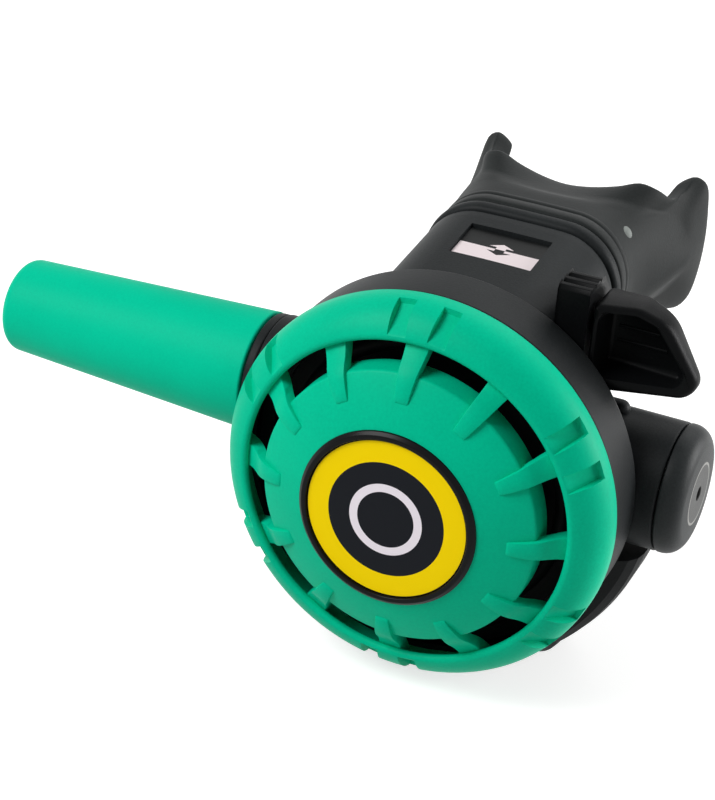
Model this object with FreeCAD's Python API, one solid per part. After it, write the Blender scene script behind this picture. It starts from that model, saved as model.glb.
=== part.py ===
import FreeCAD, Part
import math
import os

os.makedirs("parts", exist_ok=True)

V = FreeCAD.Vector

# Second stage of a scuba regulator, all sizes in millimetres.
# It is built about the case: X to the right seen from the front, Y to the back,
# Z up, y = 0 at the rear edge of the case's front band. place() then moves all
# of it, so that the origin is the tip of the hose tail on the valve's axis.

# Fits
gap = 0.3
fit = 0.05
edge = 0.4
far = 120.0

# Case
band_r = 42.5
band_len = 13.1
band_edge = 1.0
body_r = 35.0
body_depth = 26.0
body_round = 11.0
case_wall = 2.2
shelf_y = -9.5
neck_len = 3.1
neck_wall = 1.5
neck_play = 0.4

# Cover ring with ribs
cover_over = 0.5
cover_side = 2.1
ring_front_y = -24.0
ring_w = 7.2
ring_lip = 1.4
ring_bulge = 4.8
ring_turn = 0.25
ring_room = 0.5
skirt_wall = 1.8
rib_count = 12
rib_outer_w = 5.2
rib_inner_w = 2.9
rib_reach = 6.3
rib_step = 1.4
rib_depth = 5.0
rib_rise = 0.75
grip_pairs = 6
grip_angle = 6.6
grip_w = 4.0
grip_step = 1.4
grip_end_y = -17.5

# Purge dome and badge
slot_w = 4.3
dome_apex_y = -34.2
dome_sphere_r = 56.0
dome_wall = 1.9
dome_skirt = 4.3
dome_edge = 2.0
badge_r = 17.6
badge_thick = 1.6
badge_proud = 0.84
bezel_w = 1.9
bezel_rise = 0.5
pusher_r = 4.0
pusher_fin = 1.5

# Diaphragm
bead_len = 1.8
bead_w = 2.8
web_thick = 0.6
fold_margin = 3.4
fold_w = 3.2
fold_h = 2.2
plate_r = 13.5
plate_thick = 1.0
slip_thick = 1.3
slip_w = 2.8

# Valve axis, bosses and barrel
axis_y = 13.3
boss_r = 14.1
boss_right_x = 46.5
boss_left_x = -47.8
boss_wall = 4.0
wall_left_x = -20.0
wall_right_x = 28.0
barrel_r = 7.0
barrel_bore = 5.0
barrel_in_x = -61.0
barrel_cap_x = 44.0
o_ring_wire = 0.9
o_ring_seat = 2.2
o_ring_inset = 4.5
cup_r = 11.0
cup_depth = 5.0
nut_len = 3.2
nut_across = 16.0

# End cap
cap_r = 14.1
cap_len = 5.8
cap_round = 4.2
cap_spigot = 3.6
cap_hole = 1.5

# Inside the valve
orifice_x = -22.0
orifice_len = 10.0
orifice_hole = 1.7
orifice_lip = 2.4
poppet_r = 2.6
poppet_head_r = 4.4
poppet_head = 5.0
poppet_len = 37.0
seat_r = 3.3
seat_thick = 1.2
spring_r = 4.1
spring_wire = 0.8
spring_turns = 7
spring_len = 14.0
adjuster_len = 7.0
adjuster_hex = 4.0

# Demand lever
lever_pivot_x = 22.0
lever_pivot_y = 5.3
lever_thick = 1.2
lever_w = 5.6
lever_foot_w = 1.3
lever_roll = 1.4

# Hose end and protector
collar_len = 2.3
swivel_across = 17.5
swivel_len = 15.0
stem_flange_r = 8.0
stem_flange = 2.9
stem_body_r = 6.0
stem_body = 5.0
tail_r = 3.2
tail_len = 22.0
tail_collar_r = 4.4
tail_collar = 2.0
tail_bore = 2.0
ferrule_r = 8.4
ferrule_wall = 1.3
ferrule_len = 22.0
sleeve_r = 13.8
sleeve_end_r = 10.5
sleeve_len = 65.2
sleeve_bore = 6.3
sleeve_round = 2.2
sleeve_cup_r = 11.6
ferrule_end = 1.5
sleeve_room = 2.5
stem_nose = 4.8
nose_wall = 0.7
nose_groove = 0.9
nose_o_ring = 0.42

# Mouthpiece tube on the case
tube_half_w = 22.6
tube_low_z = 13.0
tube_top_z = 38.2
tube_rise = 4.3
tube_corner = 13.0
tube_len = 32.0
tube_neck = 9.0
neck_step = 2.6

# Label
label_w = 18.4
label_l = 12.6
label_y = 19.5
label_recess = 0.8
label_thick = 0.5
label_play = 0.15

# Mouthpiece and clamp
lip_y = 58.5
lip_half_w = 17.3
lip_crest = 18.9
lip_thick = 2.8
wing_half_w = 30.2
wing_back_y = 77.5
wing_top = 16.4
bite_w = 10.5
bite_thick = 4.0
bite_len = 19.0
bite_lug = 10.0
bite_in_x = 12.5
airway_half_w = 15.5
airway_half_h = 9.0
clamp_len = 2.8
clamp_deep = 0.9
clamp_proud = 0.5

# Venturi lever
hub_y = 8.4
hub_z = 34.6
hub_r = 8.0
index_x = 20.9
index_len = 6.1
index_front_y = 0.5
index_top_z = 45.2
index_ridges = 3
index_pitch = 2.8
index_ridge = 0.8
shaft_r = 2.0
shaft_in_x = -6.0
shaft_cup = 1.2
shaft_cup_len = 3.4
shaft_o_ring = 0.5
shaft_seat = 0.8
vane_len = 12.0
vane_w = 18.0
vane_thick = 1.2
paddle_back_y = 12.0
paddle_root_y = 2.6
paddle_tip_y = 7.6
paddle_reach = 48.0
paddle_top_z = 43.4
paddle_low_z = 21.0
paddle_rim = 2.4
dish_floor = 2.4

# Exhaust valve and tee
port_y = 14.0
port_r = 11.0
port_hub = 3.0
port_drop = 3.5
port_spoke = 2.0
port_stem_r = 1.3
pad_r = 15.0
exhaust_valve_r = 13.0
exhaust_valve_thick = 0.8
tee_wall = 1.8
tee_depth = 8.7
tee_front_y = 2.5
tee_back_y = 25.5
tee_round = 7.0
tee_round_steps = 4
tee_half_low = 22.0
tee_horn = 8.6
tee_end_z = -15.5
outlet_in_x = 26.5
outlet_out_x = 36.0
outlet_low_z = -31.0
outlet_top_z = -19.0
outlet_round = 3.0

# Worked-out places
neck_out_r = band_r - case_wall - neck_play
neck_in_r = neck_out_r - neck_wall
bead_r = neck_in_r - fit
neck_front_y = -band_len - neck_len
cover_r = band_r + cover_over
ring_in_r = cover_r - ring_w
dome_r = ring_in_r - slot_w
rib_inner_r = dome_r - rib_reach
fold_r = bead_r - bead_w - fold_margin - fold_w / 2
hollow_r = body_r - case_wall
port_z = -body_r - port_drop
tee_low_z = port_z - tee_depth
tee_end_x = body_r + tee_horn
badge_seat_r = badge_r + bezel_w + 2 * fit
tube_mid_z = (tube_low_z + tube_top_z + tube_rise) / 2
tail_tip_x = barrel_in_x - gap - stem_flange - stem_body - tail_len
dome_centre_y = dome_apex_y + dome_sphere_r
badge_front_y = dome_centre_y - math.sqrt(dome_sphere_r ** 2 - badge_seat_r ** 2) - badge_proud
web_y = shelf_y - (bead_len + web_thick) / 2
plate_y = web_y + web_thick + fit
lever_tip_y = plate_y + plate_thick + gap
poppet_x = orifice_x + orifice_len + gap


def place(shape):
    shape.translate(V(-tail_tip_x, -axis_y, 0))
    return shape


def write(name, shape):
    place(shape).exportStep("parts/" + name + ".step")
    print(name, len(shape.Solids), "solid", round(shape.Volume), "mm3",
          "valid" if shape.isValid() else "NOT VALID")


def face_of(edges):
    return Part.Face(Part.Wire(edges))


def outline(points, plane):
    """Closed edges through points; a point of two pairs is an arc's middle and end."""
    edges = []
    here = plane(*points[0])
    for p in points[1:] + [points[0]]:
        if len(p) == 4:
            there = plane(p[2], p[3])
            edges.append(Part.Arc(here, plane(p[0], p[1]), there).toShape())
        else:
            there = plane(*p[:2])
            if here.distanceToPoint(there) > 1e-6:
                edges.append(Part.LineSegment(here, there).toShape())
        here = there
    return edges


def flat_xy(x, y):
    return V(x, y, 0)


def flat_xz(x, z):
    return V(x, 0, z)


def spun_y(points):
    """Solid of points (radius, y) turned about the case's axis."""
    face = face_of(outline(points, flat_xy))
    return face.revolve(V(0, 0, 0), V(0, 1, 0), 360)


def spun_x(points):
    """Solid of points (x, radius) turned about the valve's axis."""
    face = face_of(outline(points, flat_xy))
    solid = face.revolve(V(0, 0, 0), V(1, 0, 0), 360)
    solid.translate(V(0, axis_y, 0))
    return solid


def rod_x(radius, x1, x2, y=axis_y, z=0.0):
    return Part.makeCylinder(radius, x2 - x1, V(x1, y, z), V(1, 0, 0))


def rod_y(radius, y1, y2, x=0.0, z=0.0):
    return Part.makeCylinder(radius, y2 - y1, V(x, y1, z), V(0, 1, 0))


def rod_z(radius, z1, z2, x, y):
    return Part.makeCylinder(radius, z2 - z1, V(x, y, z1), V(0, 0, 1))


def block(x1, x2, y1, y2, z1, z2):
    return Part.makeBox(x2 - x1, y2 - y1, z2 - z1, V(x1, y1, z1))


def prism_x(points, x1, x2):
    """Prism along X of an outline of points (y, z)."""
    face = face_of(outline(points, lambda y, z: V(x1, y, z)))
    return face.extrude(V(x2 - x1, 0, 0))


def hexagon_x(across, x1, x2):
    side = across / 2 / math.cos(math.pi / 6)
    corners = [(axis_y + side * math.cos(math.pi / 3 * k), side * math.sin(math.pi / 3 * k))
               for k in range(6)]
    return prism_x(corners, x1, x2)


def ring_x(radius, wire, x):
    """Rubber ring of round section about the valve's axis."""
    return Part.makeTorus(radius, wire, V(x, axis_y, 0), V(1, 0, 0))


def oval(y, half_w, low, top, corner):
    """Rounded rectangle across the tube at y."""
    r = min(corner, half_w - 0.2, (top - low) / 2 - 0.2)
    d = r * (1 - math.sqrt(0.5))
    a, b = half_w, half_w - r
    pts = [(b, top), (a - d, top - d, a, top - r), (a, low + r), (a - d, low + d, b, low),
           (-b, low), (-a + d, low + d, -a, low + r), (-a, top - r), (-a + d, top - d, -b, top)]
    return Part.Wire(outline(pts, lambda x, z: V(x, y, z)))


def tube_top(y):
    return tube_top_z + tube_rise * y / tube_len


def tube_oval(y, grow=0.0):
    return oval(y, tube_half_w + grow, tube_low_z - grow, tube_top(y) + grow, tube_corner + grow)


def tube_span(y1, y2, grow=0.0):
    return Part.makeLoft([tube_oval(y1, grow), tube_oval(y2, grow)], True, True)


def rounded(shape, radius, test):
    """Fillets the edges whose middle point passes the test."""
    edges = [e for e in shape.Edges if test(e.valueAt((e.FirstParameter + e.LastParameter) / 2), e)]
    return shape.makeFillet(radius, edges)


def dome_y(r, off=0.0):
    """Front surface of the purge dome at a radius, moved out by off."""
    return dome_centre_y - math.sqrt((dome_sphere_r + off) ** 2 - r * r)


def around_y(shape, count, start=0.0):
    for k in range(count):
        copy = shape.copy()
        copy.rotate(V(0, 0, 0), V(0, 1, 0), start + 360.0 * k / count)
        yield copy


def case_shell():
    """Band, body and the neck that the cover turns on, as one turned shell."""
    back = body_depth
    outer = [(0.0, back), (0.0, neck_front_y), (neck_out_r, neck_front_y), (neck_out_r, -band_len),
             (band_r - band_edge, -band_len),
             (band_r - band_edge * 0.3, -band_len + band_edge * 0.3, band_r, -band_len + band_edge),
             (band_r, -band_edge),
             (band_r - band_edge * 0.3, -band_edge * 0.3, band_r - band_edge, 0.0),
             (body_r, 0.0), (body_r, back - body_round),
             (body_r - body_round * 0.29, back - body_round * 0.29, body_r - body_round, back)]
    return spun_y(outer)


def case_cavity():
    """Room inside the case, one wall smaller than its body."""
    r, back, turn = hollow_r, body_depth - case_wall, body_round - case_wall
    return spun_y([(0, shelf_y), (r, shelf_y), (r, back - turn),
                   (r - turn * 0.29, back - turn * 0.29, r - turn, back), (0, back)])


def index_block():
    """Block at the corner of the tube that carries the lever's shaft, ridged on top."""
    y1, y2 = index_front_y, index_front_y + index_pitch * index_ridges
    z1, z2 = hub_z - hub_r + 1.5, index_top_z - index_ridge
    back = hub_y + hub_r - 2
    block_side = [(y1, z1 + 6), (y1, z2 - 0.8), (y1 + 0.25, z2 - 0.25, y1 + 0.8, z2), (y2 - 1, z2),
                  (y2 + 1.6, z2 - 1.2, back - 0.5, hub_z + 4), (back, z1), (hub_y, z1)]
    body = prism_x(block_side, index_x, index_x + index_len)
    body = body.fuse(rod_x(hub_r - 2.2, tube_half_w - tube_corner, index_x + index_len, hub_y, hub_z))
    for k in range(index_ridges):
        y = y1 + 0.5 + index_pitch * k
        ridge = [(y - 0.1, z2 - 0.2), (y + 0.2, z2 + index_ridge), (y + 1.5, z2 + index_ridge),
                 (y + 2.1, z2 - 0.2)]
        body = body.fuse(prism_x(ridge, index_x, index_x + index_len))
    return body


def case_housing():
    shell = case_shell()
    shell = shell.fuse(tube_span(-band_edge, tube_len))
    shell = shell.fuse(tube_span(tube_len, tube_len + tube_neck, -neck_step))
    shell = shell.fuse(rod_x(boss_r, boss_left_x, boss_right_x))
    shell = shell.fuse(rod_z(pad_r, port_z, -body_r / 2, 0, port_y))
    shell = shell.fuse(index_block())
    inside = case_cavity()
    inside = inside.fuse(rod_y(neck_in_r, neck_front_y, shelf_y))
    airway = tube_span(case_wall, tube_len + tube_neck, -case_wall - neck_step)
    wide = tube_span(case_wall, tube_len - case_wall, -case_wall)
    shell = shell.cut(inside.fuse(airway).fuse(wide))
    walls = rod_x(barrel_r + boss_wall, boss_left_x, wall_left_x)
    walls = walls.fuse(rod_x(barrel_r + boss_wall, wall_right_x, boss_right_x))
    shell = shell.fuse(walls.common(inside.fuse(rod_x(boss_r, boss_left_x, boss_right_x))))
    shell = shell.cut(rod_x(barrel_r + fit, boss_left_x - 1, boss_right_x + 1))
    shell = shell.cut(rod_x(cup_r, boss_right_x - cup_depth, boss_right_x))
    for x in (o_ring_left_x(), o_ring_right_x()):
        shell = shell.cut(rod_x(barrel_r + o_ring_wire, x - o_ring_seat / 2, x + o_ring_seat / 2))
    shell = shell.cut(rod_x(shaft_r + fit, 0, lever_x(), hub_y, hub_z))
    shell = shell.cut(rod_x(shaft_r + shaft_cup, lever_x() - shaft_cup_len, lever_x(), hub_y, hub_z))
    in_z = -body_r / 2
    ports = rod_z(port_r, port_z, in_z, 0, port_y).cut(rod_z(port_hub, port_z, in_z, 0, port_y))
    for turn in (0, 60, 120):
        spoke = block(-port_r, port_r, -port_spoke / 2, port_spoke / 2, port_z, in_z)
        spoke.rotate(V(0, 0, 0), V(0, 0, 1), turn)
        spoke.translate(V(0, port_y, 0))
        ports = ports.cut(spoke)
    shell = shell.cut(ports.cut(case_cavity()))
    shell = shell.cut(rod_z(port_stem_r, port_z - 1, in_z, 0, port_y))
    shell = shell.cut(label_block(label_recess, 0.0, label_play))
    return shell.removeSplitter()


def lever_x():
    return index_x + index_len + gap


def o_ring_left_x():
    return boss_left_x + o_ring_inset


def o_ring_right_x():
    return boss_right_x - cup_depth - o_ring_inset


def label_block(deep, shallow, grow):
    """Flat block let into the tube's sloping top, between two depths."""
    slope = math.degrees(math.atan2(tube_rise, tube_len))
    w, l = label_w / 2 + grow, label_l / 2 + grow
    plate = block(-w, w, -l, l, -deep, -shallow if shallow else 3.0)
    plate.rotate(V(0, 0, 0), V(1, 0, 0), slope)
    plate.translate(V(0, label_y, tube_top(label_y)))
    return plate


def label_plate():
    return label_block(label_recess - fit, label_recess - fit - label_thick, 0.0)


def cover_rib():
    """One curved arm from the ring's lip to just over the dome."""
    r0 = ring_in_r + 0.8
    r1 = dome_r + gap + 0.05
    top = ring_front_y + rib_step
    low = top + rib_depth
    mid_r = (rib_inner_r + r1) / 2
    pts = [(r0, top),
           (r1, dome_y(r1, gap) - rib_rise, rib_inner_r, dome_y(rib_inner_r, gap) - rib_rise),
           (rib_inner_r, dome_y(rib_inner_r, gap)),
           (mid_r, dome_y(mid_r, gap), r1, dome_y(r1, gap)),
           (r1, low), (r0, low)]
    face = face_of(outline(pts, flat_xy))
    rib = face.extrude(V(0, 0, rib_outer_w))
    rib.translate(V(0, 0, -rib_outer_w / 2))
    a, b = rib_outer_w / 2, rib_inner_w / 2
    plan = [(rib_inner_r - 1, b), (r0 + 1, a), (r0 + 1, -a), (rib_inner_r - 1, -b)]
    wedge = face_of(outline(plan, lambda x, z: V(x, -far, z))).extrude(V(0, far, 0))
    return rib.common(wedge)


def grip_cut():
    """Wedge that runs out from the ring's lip and ends in a step near its edge."""
    step_r = cover_r - grip_step
    pts = [(ring_in_r + ring_lip, ring_front_y + 0.1), (step_r, grip_end_y), (far, grip_end_y),
           (far, -far), (ring_in_r + ring_lip, -far)]
    span = math.degrees(2 * grip_w / (ring_in_r + cover_r))
    cut = face_of(outline(pts, flat_xy)).revolve(V(0, 0, 0), V(0, 1, 0), span)
    cut.rotate(V(0, 0, 0), V(0, 1, 0), -span / 2)
    return cut


def cover_ring():
    """Turned ring with a pressing skirt, twelve curved ribs and paired grip recesses."""
    rear = -band_len - gap
    skirt_rear = shelf_y - bead_len - slip_thick - gap
    bend = rear - cover_side
    inner = neck_out_r + gap
    roof = neck_front_y - ring_room
    turn_y = grip_end_y + edge / 2
    pts = [(cover_r, rear), (cover_r, bend),
           (cover_r - 0.4 * ring_turn, (bend + turn_y) / 2, cover_r - ring_turn, turn_y),
           (cover_r - ring_lip + 0.1, bend - ring_bulge, ring_in_r + ring_lip, ring_front_y),
           (ring_in_r + 0.35, ring_front_y + 0.2, ring_in_r, ring_front_y + 0.9),
           (ring_in_r, skirt_rear), (ring_in_r + skirt_wall, skirt_rear),
           (ring_in_r + skirt_wall, roof - skirt_wall), (inner, roof), (inner, rear)]
    ring = spun_y(pts)
    ring = ring.fuse(list(around_y(cover_rib(), rib_count)))
    cuts = []
    for side in (-1, 1):
        cuts += around_y(grip_cut(), grip_pairs, 90 + side * grip_angle)
    return ring.cut(cuts)


def purge_dome():
    """Thin dome with a rolled edge, a seat for the badge and a finned pusher behind."""
    inside = dome_sphere_r - dome_wall
    seat_y = badge_front_y + badge_thick + fit
    seat_r = badge_seat_r
    edge_y = dome_y(dome_r - 1.2)
    rear = dome_y(dome_r) + dome_skirt

    def inner_y(r):
        return dome_centre_y - math.sqrt(inside ** 2 - r * r)
    rim_r = dome_r - dome_wall
    floor_r = seat_r + dome_wall
    mid_r = (seat_r + dome_r) / 2
    mid_in = (floor_r + rim_r) / 2
    pts = [(0, seat_y), (seat_r, seat_y), (seat_r, dome_y(seat_r)),
           (mid_r, dome_y(mid_r), dome_r - dome_edge, dome_y(dome_r - dome_edge)),
           (dome_r - 0.45, edge_y + 0.6, dome_r, edge_y + dome_edge + 0.6),
           (dome_r, rear), (rim_r, rear), (rim_r, inner_y(rim_r)),
           (mid_in, inner_y(mid_in), floor_r, inner_y(floor_r)),
           (floor_r, seat_y + dome_wall), (0, seat_y + dome_wall)]
    dome = spun_y(pts)
    tip = web_y - gap
    dome = dome.fuse(rod_y(pusher_r, seat_y + dome_wall, tip))
    fin = block(0, floor_r, seat_y + 1, (seat_y + dome_wall + tip) / 2, -pusher_fin / 2, pusher_fin / 2)
    slant = face_of(outline([(floor_r, seat_y + dome_wall), (floor_r, tip), (pusher_r, tip),
                             (pusher_r, tip - 3)], flat_xy)).extrude(V(0, 0, 2 * pusher_fin))
    slant.translate(V(0, 0, -pusher_fin))
    return dome.fuse(list(around_y(fin.cut(slant), 4)))


def badge_disc():
    disc = rod_y(badge_r, badge_front_y, badge_front_y + badge_thick)
    return rounded(disc, 0.3, lambda m, e: m.y < badge_front_y + 0.1 and e.Closed)


def badge_bezel():
    r0, r1 = badge_r + fit, badge_r + bezel_w
    front = badge_front_y - bezel_rise
    pts = [(r0, badge_front_y + badge_thick), (r0, front + 0.5), (r0 + 0.25, front + 0.1, r0 + 0.7, front),
           (r1 - 0.3, front + 0.45, r1, front + 1.5), (r1, badge_front_y + badge_thick)]
    return spun_y(pts)


def diaphragm():
    """Silicone sheet with a clamped bead and one fold round its moving middle."""
    out = bead_r
    y1, y2 = web_y, web_y + web_thick
    bead = out - bead_w
    h, w, t = fold_h, fold_w / 2, web_thick
    pts = [(0, y1), (fold_r - w, y1), (fold_r, y1 - h, fold_r + w, y1), (bead, y1),
           (bead, shelf_y - bead_len), (out, shelf_y - bead_len), (out, shelf_y - fit),
           (bead, shelf_y - fit), (bead, y2), (fold_r + w - t, y2),
           (fold_r, y2 - h, fold_r - w + t, y2), (0, y2)]
    return spun_y(pts)


def diaphragm_plate():
    plate = rod_y(plate_r, plate_y, plate_y + plate_thick)
    return rounded(plate, 0.4, lambda m, e: m.y > plate_y + 0.5 and e.Closed)


def cover_slip_ring():
    """Low-friction ring that lets the cover turn on the diaphragm's bead."""
    y1 = shelf_y - bead_len - slip_thick
    ring = rod_y(bead_r, y1, y1 + slip_thick - fit)
    return ring.cut(rod_y(bead_r - slip_w, y1 - 1, y1 + slip_thick))


def valve_barrel():
    """Chromed brass tube across the case, with lever slots, an air port and an inlet thread."""
    tube = rod_x(barrel_r, barrel_in_x, barrel_cap_x)
    tube = tube.cut(rod_x(barrel_bore, barrel_in_x, barrel_cap_x))
    tube = tube.cut(rod_x(barrel_bore + nose_wall, barrel_in_x, barrel_in_x + stem_nose + nose_wall))
    port = block(2.0, 10.0, axis_y - 3.0, axis_y + 3.0, 3.0, barrel_r + 1)
    slot = block(lever_pivot_x - 3.2, lever_pivot_x + 3.6, axis_y - barrel_r - 1, axis_y + 1.6,
                 -lever_w / 2 - lever_foot_w - gap, lever_w / 2 + lever_foot_w + gap)
    return tube.cut(port).cut(slot)


def barrel_nut():
    x1 = boss_right_x - cup_depth + fit
    nut = hexagon_x(nut_across, x1, x1 + nut_len)
    return nut.cut(rod_x(barrel_r + fit, x1 - 1, x1 + nut_len + 1))


def barrel_o_rings():
    return Part.makeCompound([ring_x(barrel_r + o_ring_wire / 2 + 0.04, o_ring_wire / 2 - 0.04, x)
                              for x in (o_ring_left_x(), o_ring_right_x())])


def orifice():
    """Brass seat with a crowned lip that the poppet closes on."""
    x1, x2 = orifice_x, orifice_x + orifice_len
    r = barrel_bore - fit
    pts = [(x1, orifice_hole), (x1, r), (x2 - 5, r), (x2 - 5, r - 0.9), (x2 - 3.2, r - 0.9),
           (x2 - 3.2, r), (x2 - 2.2, r), (x2 - 1.2, orifice_lip + 0.5), (x2, orifice_lip),
           (x2, orifice_hole)]
    return spun_x(pts)


def orifice_o_ring():
    r = 0.42
    return ring_x(barrel_bore - fit - 0.9 + r + 0.02, r, orifice_x + orifice_len - 4.1)


def poppet():
    """Plastic poppet: a cup for the seat, a shoulder for the lever and a stem for the spring."""
    x1 = poppet_x
    foot = lever_pivot_x - 1.4
    end = x1 + poppet_len
    pts = [(x1 + seat_thick, 0), (x1 + seat_thick, seat_r + fit), (x1, seat_r + fit),
           (x1, poppet_head_r - 0.4), (x1 + 0.4, poppet_head_r), (x1 + poppet_head, poppet_head_r),
           (x1 + poppet_head + 1.5, poppet_r), (foot + lever_thick + gap, poppet_r),
           (foot + lever_thick + gap, poppet_head_r), (foot + lever_thick + gap + 1.2, poppet_head_r),
           (foot + lever_thick + gap + 1.2, poppet_r), (end, poppet_r), (end, 0)]
    return spun_x(pts)


def shoulder_x():
    return lever_pivot_x - 1.4 + lever_thick + gap + 1.2


def poppet_seat():
    return rod_x(seat_r, poppet_x + fit, poppet_x + seat_thick - fit)


def poppet_spring():
    """Coil of round wire with its real turns, pressed between shoulder and adjuster."""
    x0 = shoulder_x() + spring_wire / 2 + fit
    pitch = (spring_len - spring_wire - 2 * fit) / spring_turns
    edges = []
    r = spring_r - spring_wire / 2

    def at(turn):
        return V(x0 + pitch * turn, axis_y + r * math.cos(2 * math.pi * turn),
                 r * math.sin(2 * math.pi * turn))
    steps = spring_turns * 4
    for k in range(steps):
        a, b = k / 4, (k + 1) / 4
        edges.append(Part.Arc(at(a), at((a + b) / 2), at(b)).toShape())
    path = Part.Wire(edges)
    ring = Part.Circle(at(0), V(pitch / (2 * math.pi * r), 0, 1), spring_wire / 2)
    coil = path.makePipeShell([Part.Wire([ring.toShape()])], True, False)
    print("spring gap between turns", round(pitch - spring_wire, 2), "mm")
    return coil


def spring_adjuster():
    x1 = shoulder_x() + spring_len
    body = rod_x(barrel_bore - fit, x1, x1 + adjuster_len)
    groove = x1 + adjuster_len / 2
    body = body.cut(ring_x(barrel_bore - fit, 0.5, groove))
    body = body.cut(rod_x(poppet_r + fit, x1 - 1, x1 + 3.5))
    return body.cut(hexagon_x(adjuster_hex, x1 + 3.5, x1 + adjuster_len + 1))


def adjuster_o_ring():
    x1 = shoulder_x() + spring_len + adjuster_len / 2
    return ring_x(barrel_bore - fit - 0.1, 0.13, x1)


def demand_lever():
    """Bent strip from the poppet's shoulder to the middle of the diaphragm plate."""
    px, py, t = lever_pivot_x, lever_pivot_y, lever_thick
    tip = lever_tip_y
    arm = [(px + 1.6, py + t / 2), (px + 1.6, py - t / 2), (px - 2.0, py - t / 2 - 0.6),
           (2.0, tip), (-lever_roll, tip),
           (-lever_roll - 1.2, tip + lever_roll, -lever_roll, tip + 2 * lever_roll),
           (-lever_roll + 0.4, tip + 2 * lever_roll), (-lever_roll + 0.4, tip + t), (1.6, tip + t),
           (px - 2.6, py + t / 2)]
    face = face_of(outline(arm, flat_xy))
    strip = face.extrude(V(0, 0, lever_w))
    strip.translate(V(0, 0, -lever_w / 2))
    half = lever_w / 2 + lever_foot_w
    bridge = block(px - 1.4, px + 1.6, py - t / 2, py + t / 2, -half, half)
    lever = strip.fuse(bridge)
    for side in (-1, 1):
        z = side * (lever_w / 2 + lever_foot_w / 2)
        foot = block(px - 1.4, px - 1.4 + t, py - t / 2, axis_y + 1.0,
                     z - lever_foot_w / 2, z + lever_foot_w / 2)
        lever = lever.fuse(foot)
    return lever.removeSplitter()


def end_cap():
    """Rounded cap on the right boss with a spigot and a small key hole."""
    x1 = boss_right_x + gap
    x2 = x1 + cap_len
    m = cap_round * (1 - math.sqrt(0.5))
    pts = [(x1 - cap_spigot, cup_r - fit - 1.5), (x1 - cap_spigot, cup_r - fit), (x1, cup_r - fit),
           (x1, cap_r), (x2 - cap_round, cap_r), (x2 - m, cap_r - m, x2, cap_r - cap_round),
           (x2 + 0.3, 4.5, x2 + 0.4, 0), (x1 + 2.2, 0), (x1 + 2.2, cup_r - fit - 1.5)]
    cap = spun_x(pts)
    return cap.cut(hexagon_x(2 * cap_hole, x1, x2 + 2))


def inlet_collar():
    """Black jam ring between the case's left boss and the hose protector."""
    x2 = boss_left_x - fit
    x1 = x2 - collar_len
    ring = rod_x(boss_r - 0.1, x1, x2).cut(rod_x(barrel_r + fit, x1 - 1, x2 + 1))
    return rounded(ring, 0.4, lambda m, e: e.Closed and e.Length > 80)


def nut_x2():
    return boss_left_x - fit - collar_len - gap


def hose_swivel_nut():
    x2 = nut_x2()
    x1 = x2 - swivel_len
    face = barrel_in_x - gap
    nut = hexagon_x(swivel_across, x1, x2)
    nut = nut.cut(rod_x(barrel_r + fit, face - 0.05, x2 + 1))
    nut = nut.cut(rod_x(stem_flange_r + fit, face - stem_flange - fit, face + fit))
    return nut.cut(rod_x(stem_body_r + fit, x1 - 1, face))


def hose_stem():
    """Brass stem: nose in the barrel, flange in the nut, barbed tail for the hose."""
    face = barrel_in_x - gap
    nose = barrel_bore + nose_wall - fit
    f2 = face - stem_flange
    b2 = f2 - stem_body
    tip = face + stem_nose
    seat = nose - nose_groove
    g1, g2 = tip - 3 * nose_groove - edge, tip - nose_groove - edge
    pts = [(tip, tail_bore), (tip, nose - edge), (tip - edge, nose), (g2, nose), (g2, seat), (g1, seat),
           (g1, nose), (face, nose),
           (face, stem_flange_r), (f2, stem_flange_r), (f2, stem_body_r), (b2, stem_body_r),
           (b2, tail_collar_r), (b2 - tail_collar, tail_collar_r), (b2 - tail_collar, tail_r),
           (tail_tip_x, tail_r), (tail_tip_x, tail_bore)]
    return spun_x(pts)


def hose_stem_o_ring():
    nose = barrel_bore + nose_wall - fit
    x = barrel_in_x - gap + stem_nose - 2 * nose_groove - edge
    return ring_x(nose - nose_groove + nose_o_ring + 0.03, nose_o_ring, x)


def hose_ferrule():
    """Crimped shell that grips the hose on the tail, with two rolled grooves."""
    x2 = barrel_in_x - gap - stem_flange - stem_body
    x1 = x2 - ferrule_len
    inner = ferrule_r - ferrule_wall
    shell = rod_x(ferrule_r, x1, x2 - fit).cut(rod_x(inner, x1 - 1, x2 - ferrule_end))
    shell = shell.cut(rod_x(tail_collar_r + fit, x2 - 2 * ferrule_end, x2 + 1))
    for k in (0.35, 0.7):
        shell = shell.cut(ring_x(ferrule_r + 0.35, 0.8, x1 + (x2 - x1) * k))
    return shell


def hose_protector():
    """Tapered soft sleeve over nut and ferrule, with a rounded free end."""
    x2 = nut_x2()
    x1 = x2 - sleeve_len
    nut_end = x2 - swivel_len - 1.5
    shell_end = barrel_in_x - gap - stem_flange - stem_body - ferrule_len - sleeve_room
    m = sleeve_round * (1 - math.sqrt(0.5))
    pts = [(x2, sleeve_cup_r), (x2, sleeve_r - 0.5), (x2 - 0.15, sleeve_r - 0.15, x2 - 0.5, sleeve_r),
           (x1 + sleeve_round, sleeve_end_r), (x1 + m, sleeve_end_r - m, x1, sleeve_end_r - sleeve_round),
           (x1, sleeve_bore), (shell_end, sleeve_bore), (shell_end, ferrule_r + gap),
           (nut_end, ferrule_r + gap), (nut_end, sleeve_cup_r)]
    return spun_x(pts)


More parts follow.
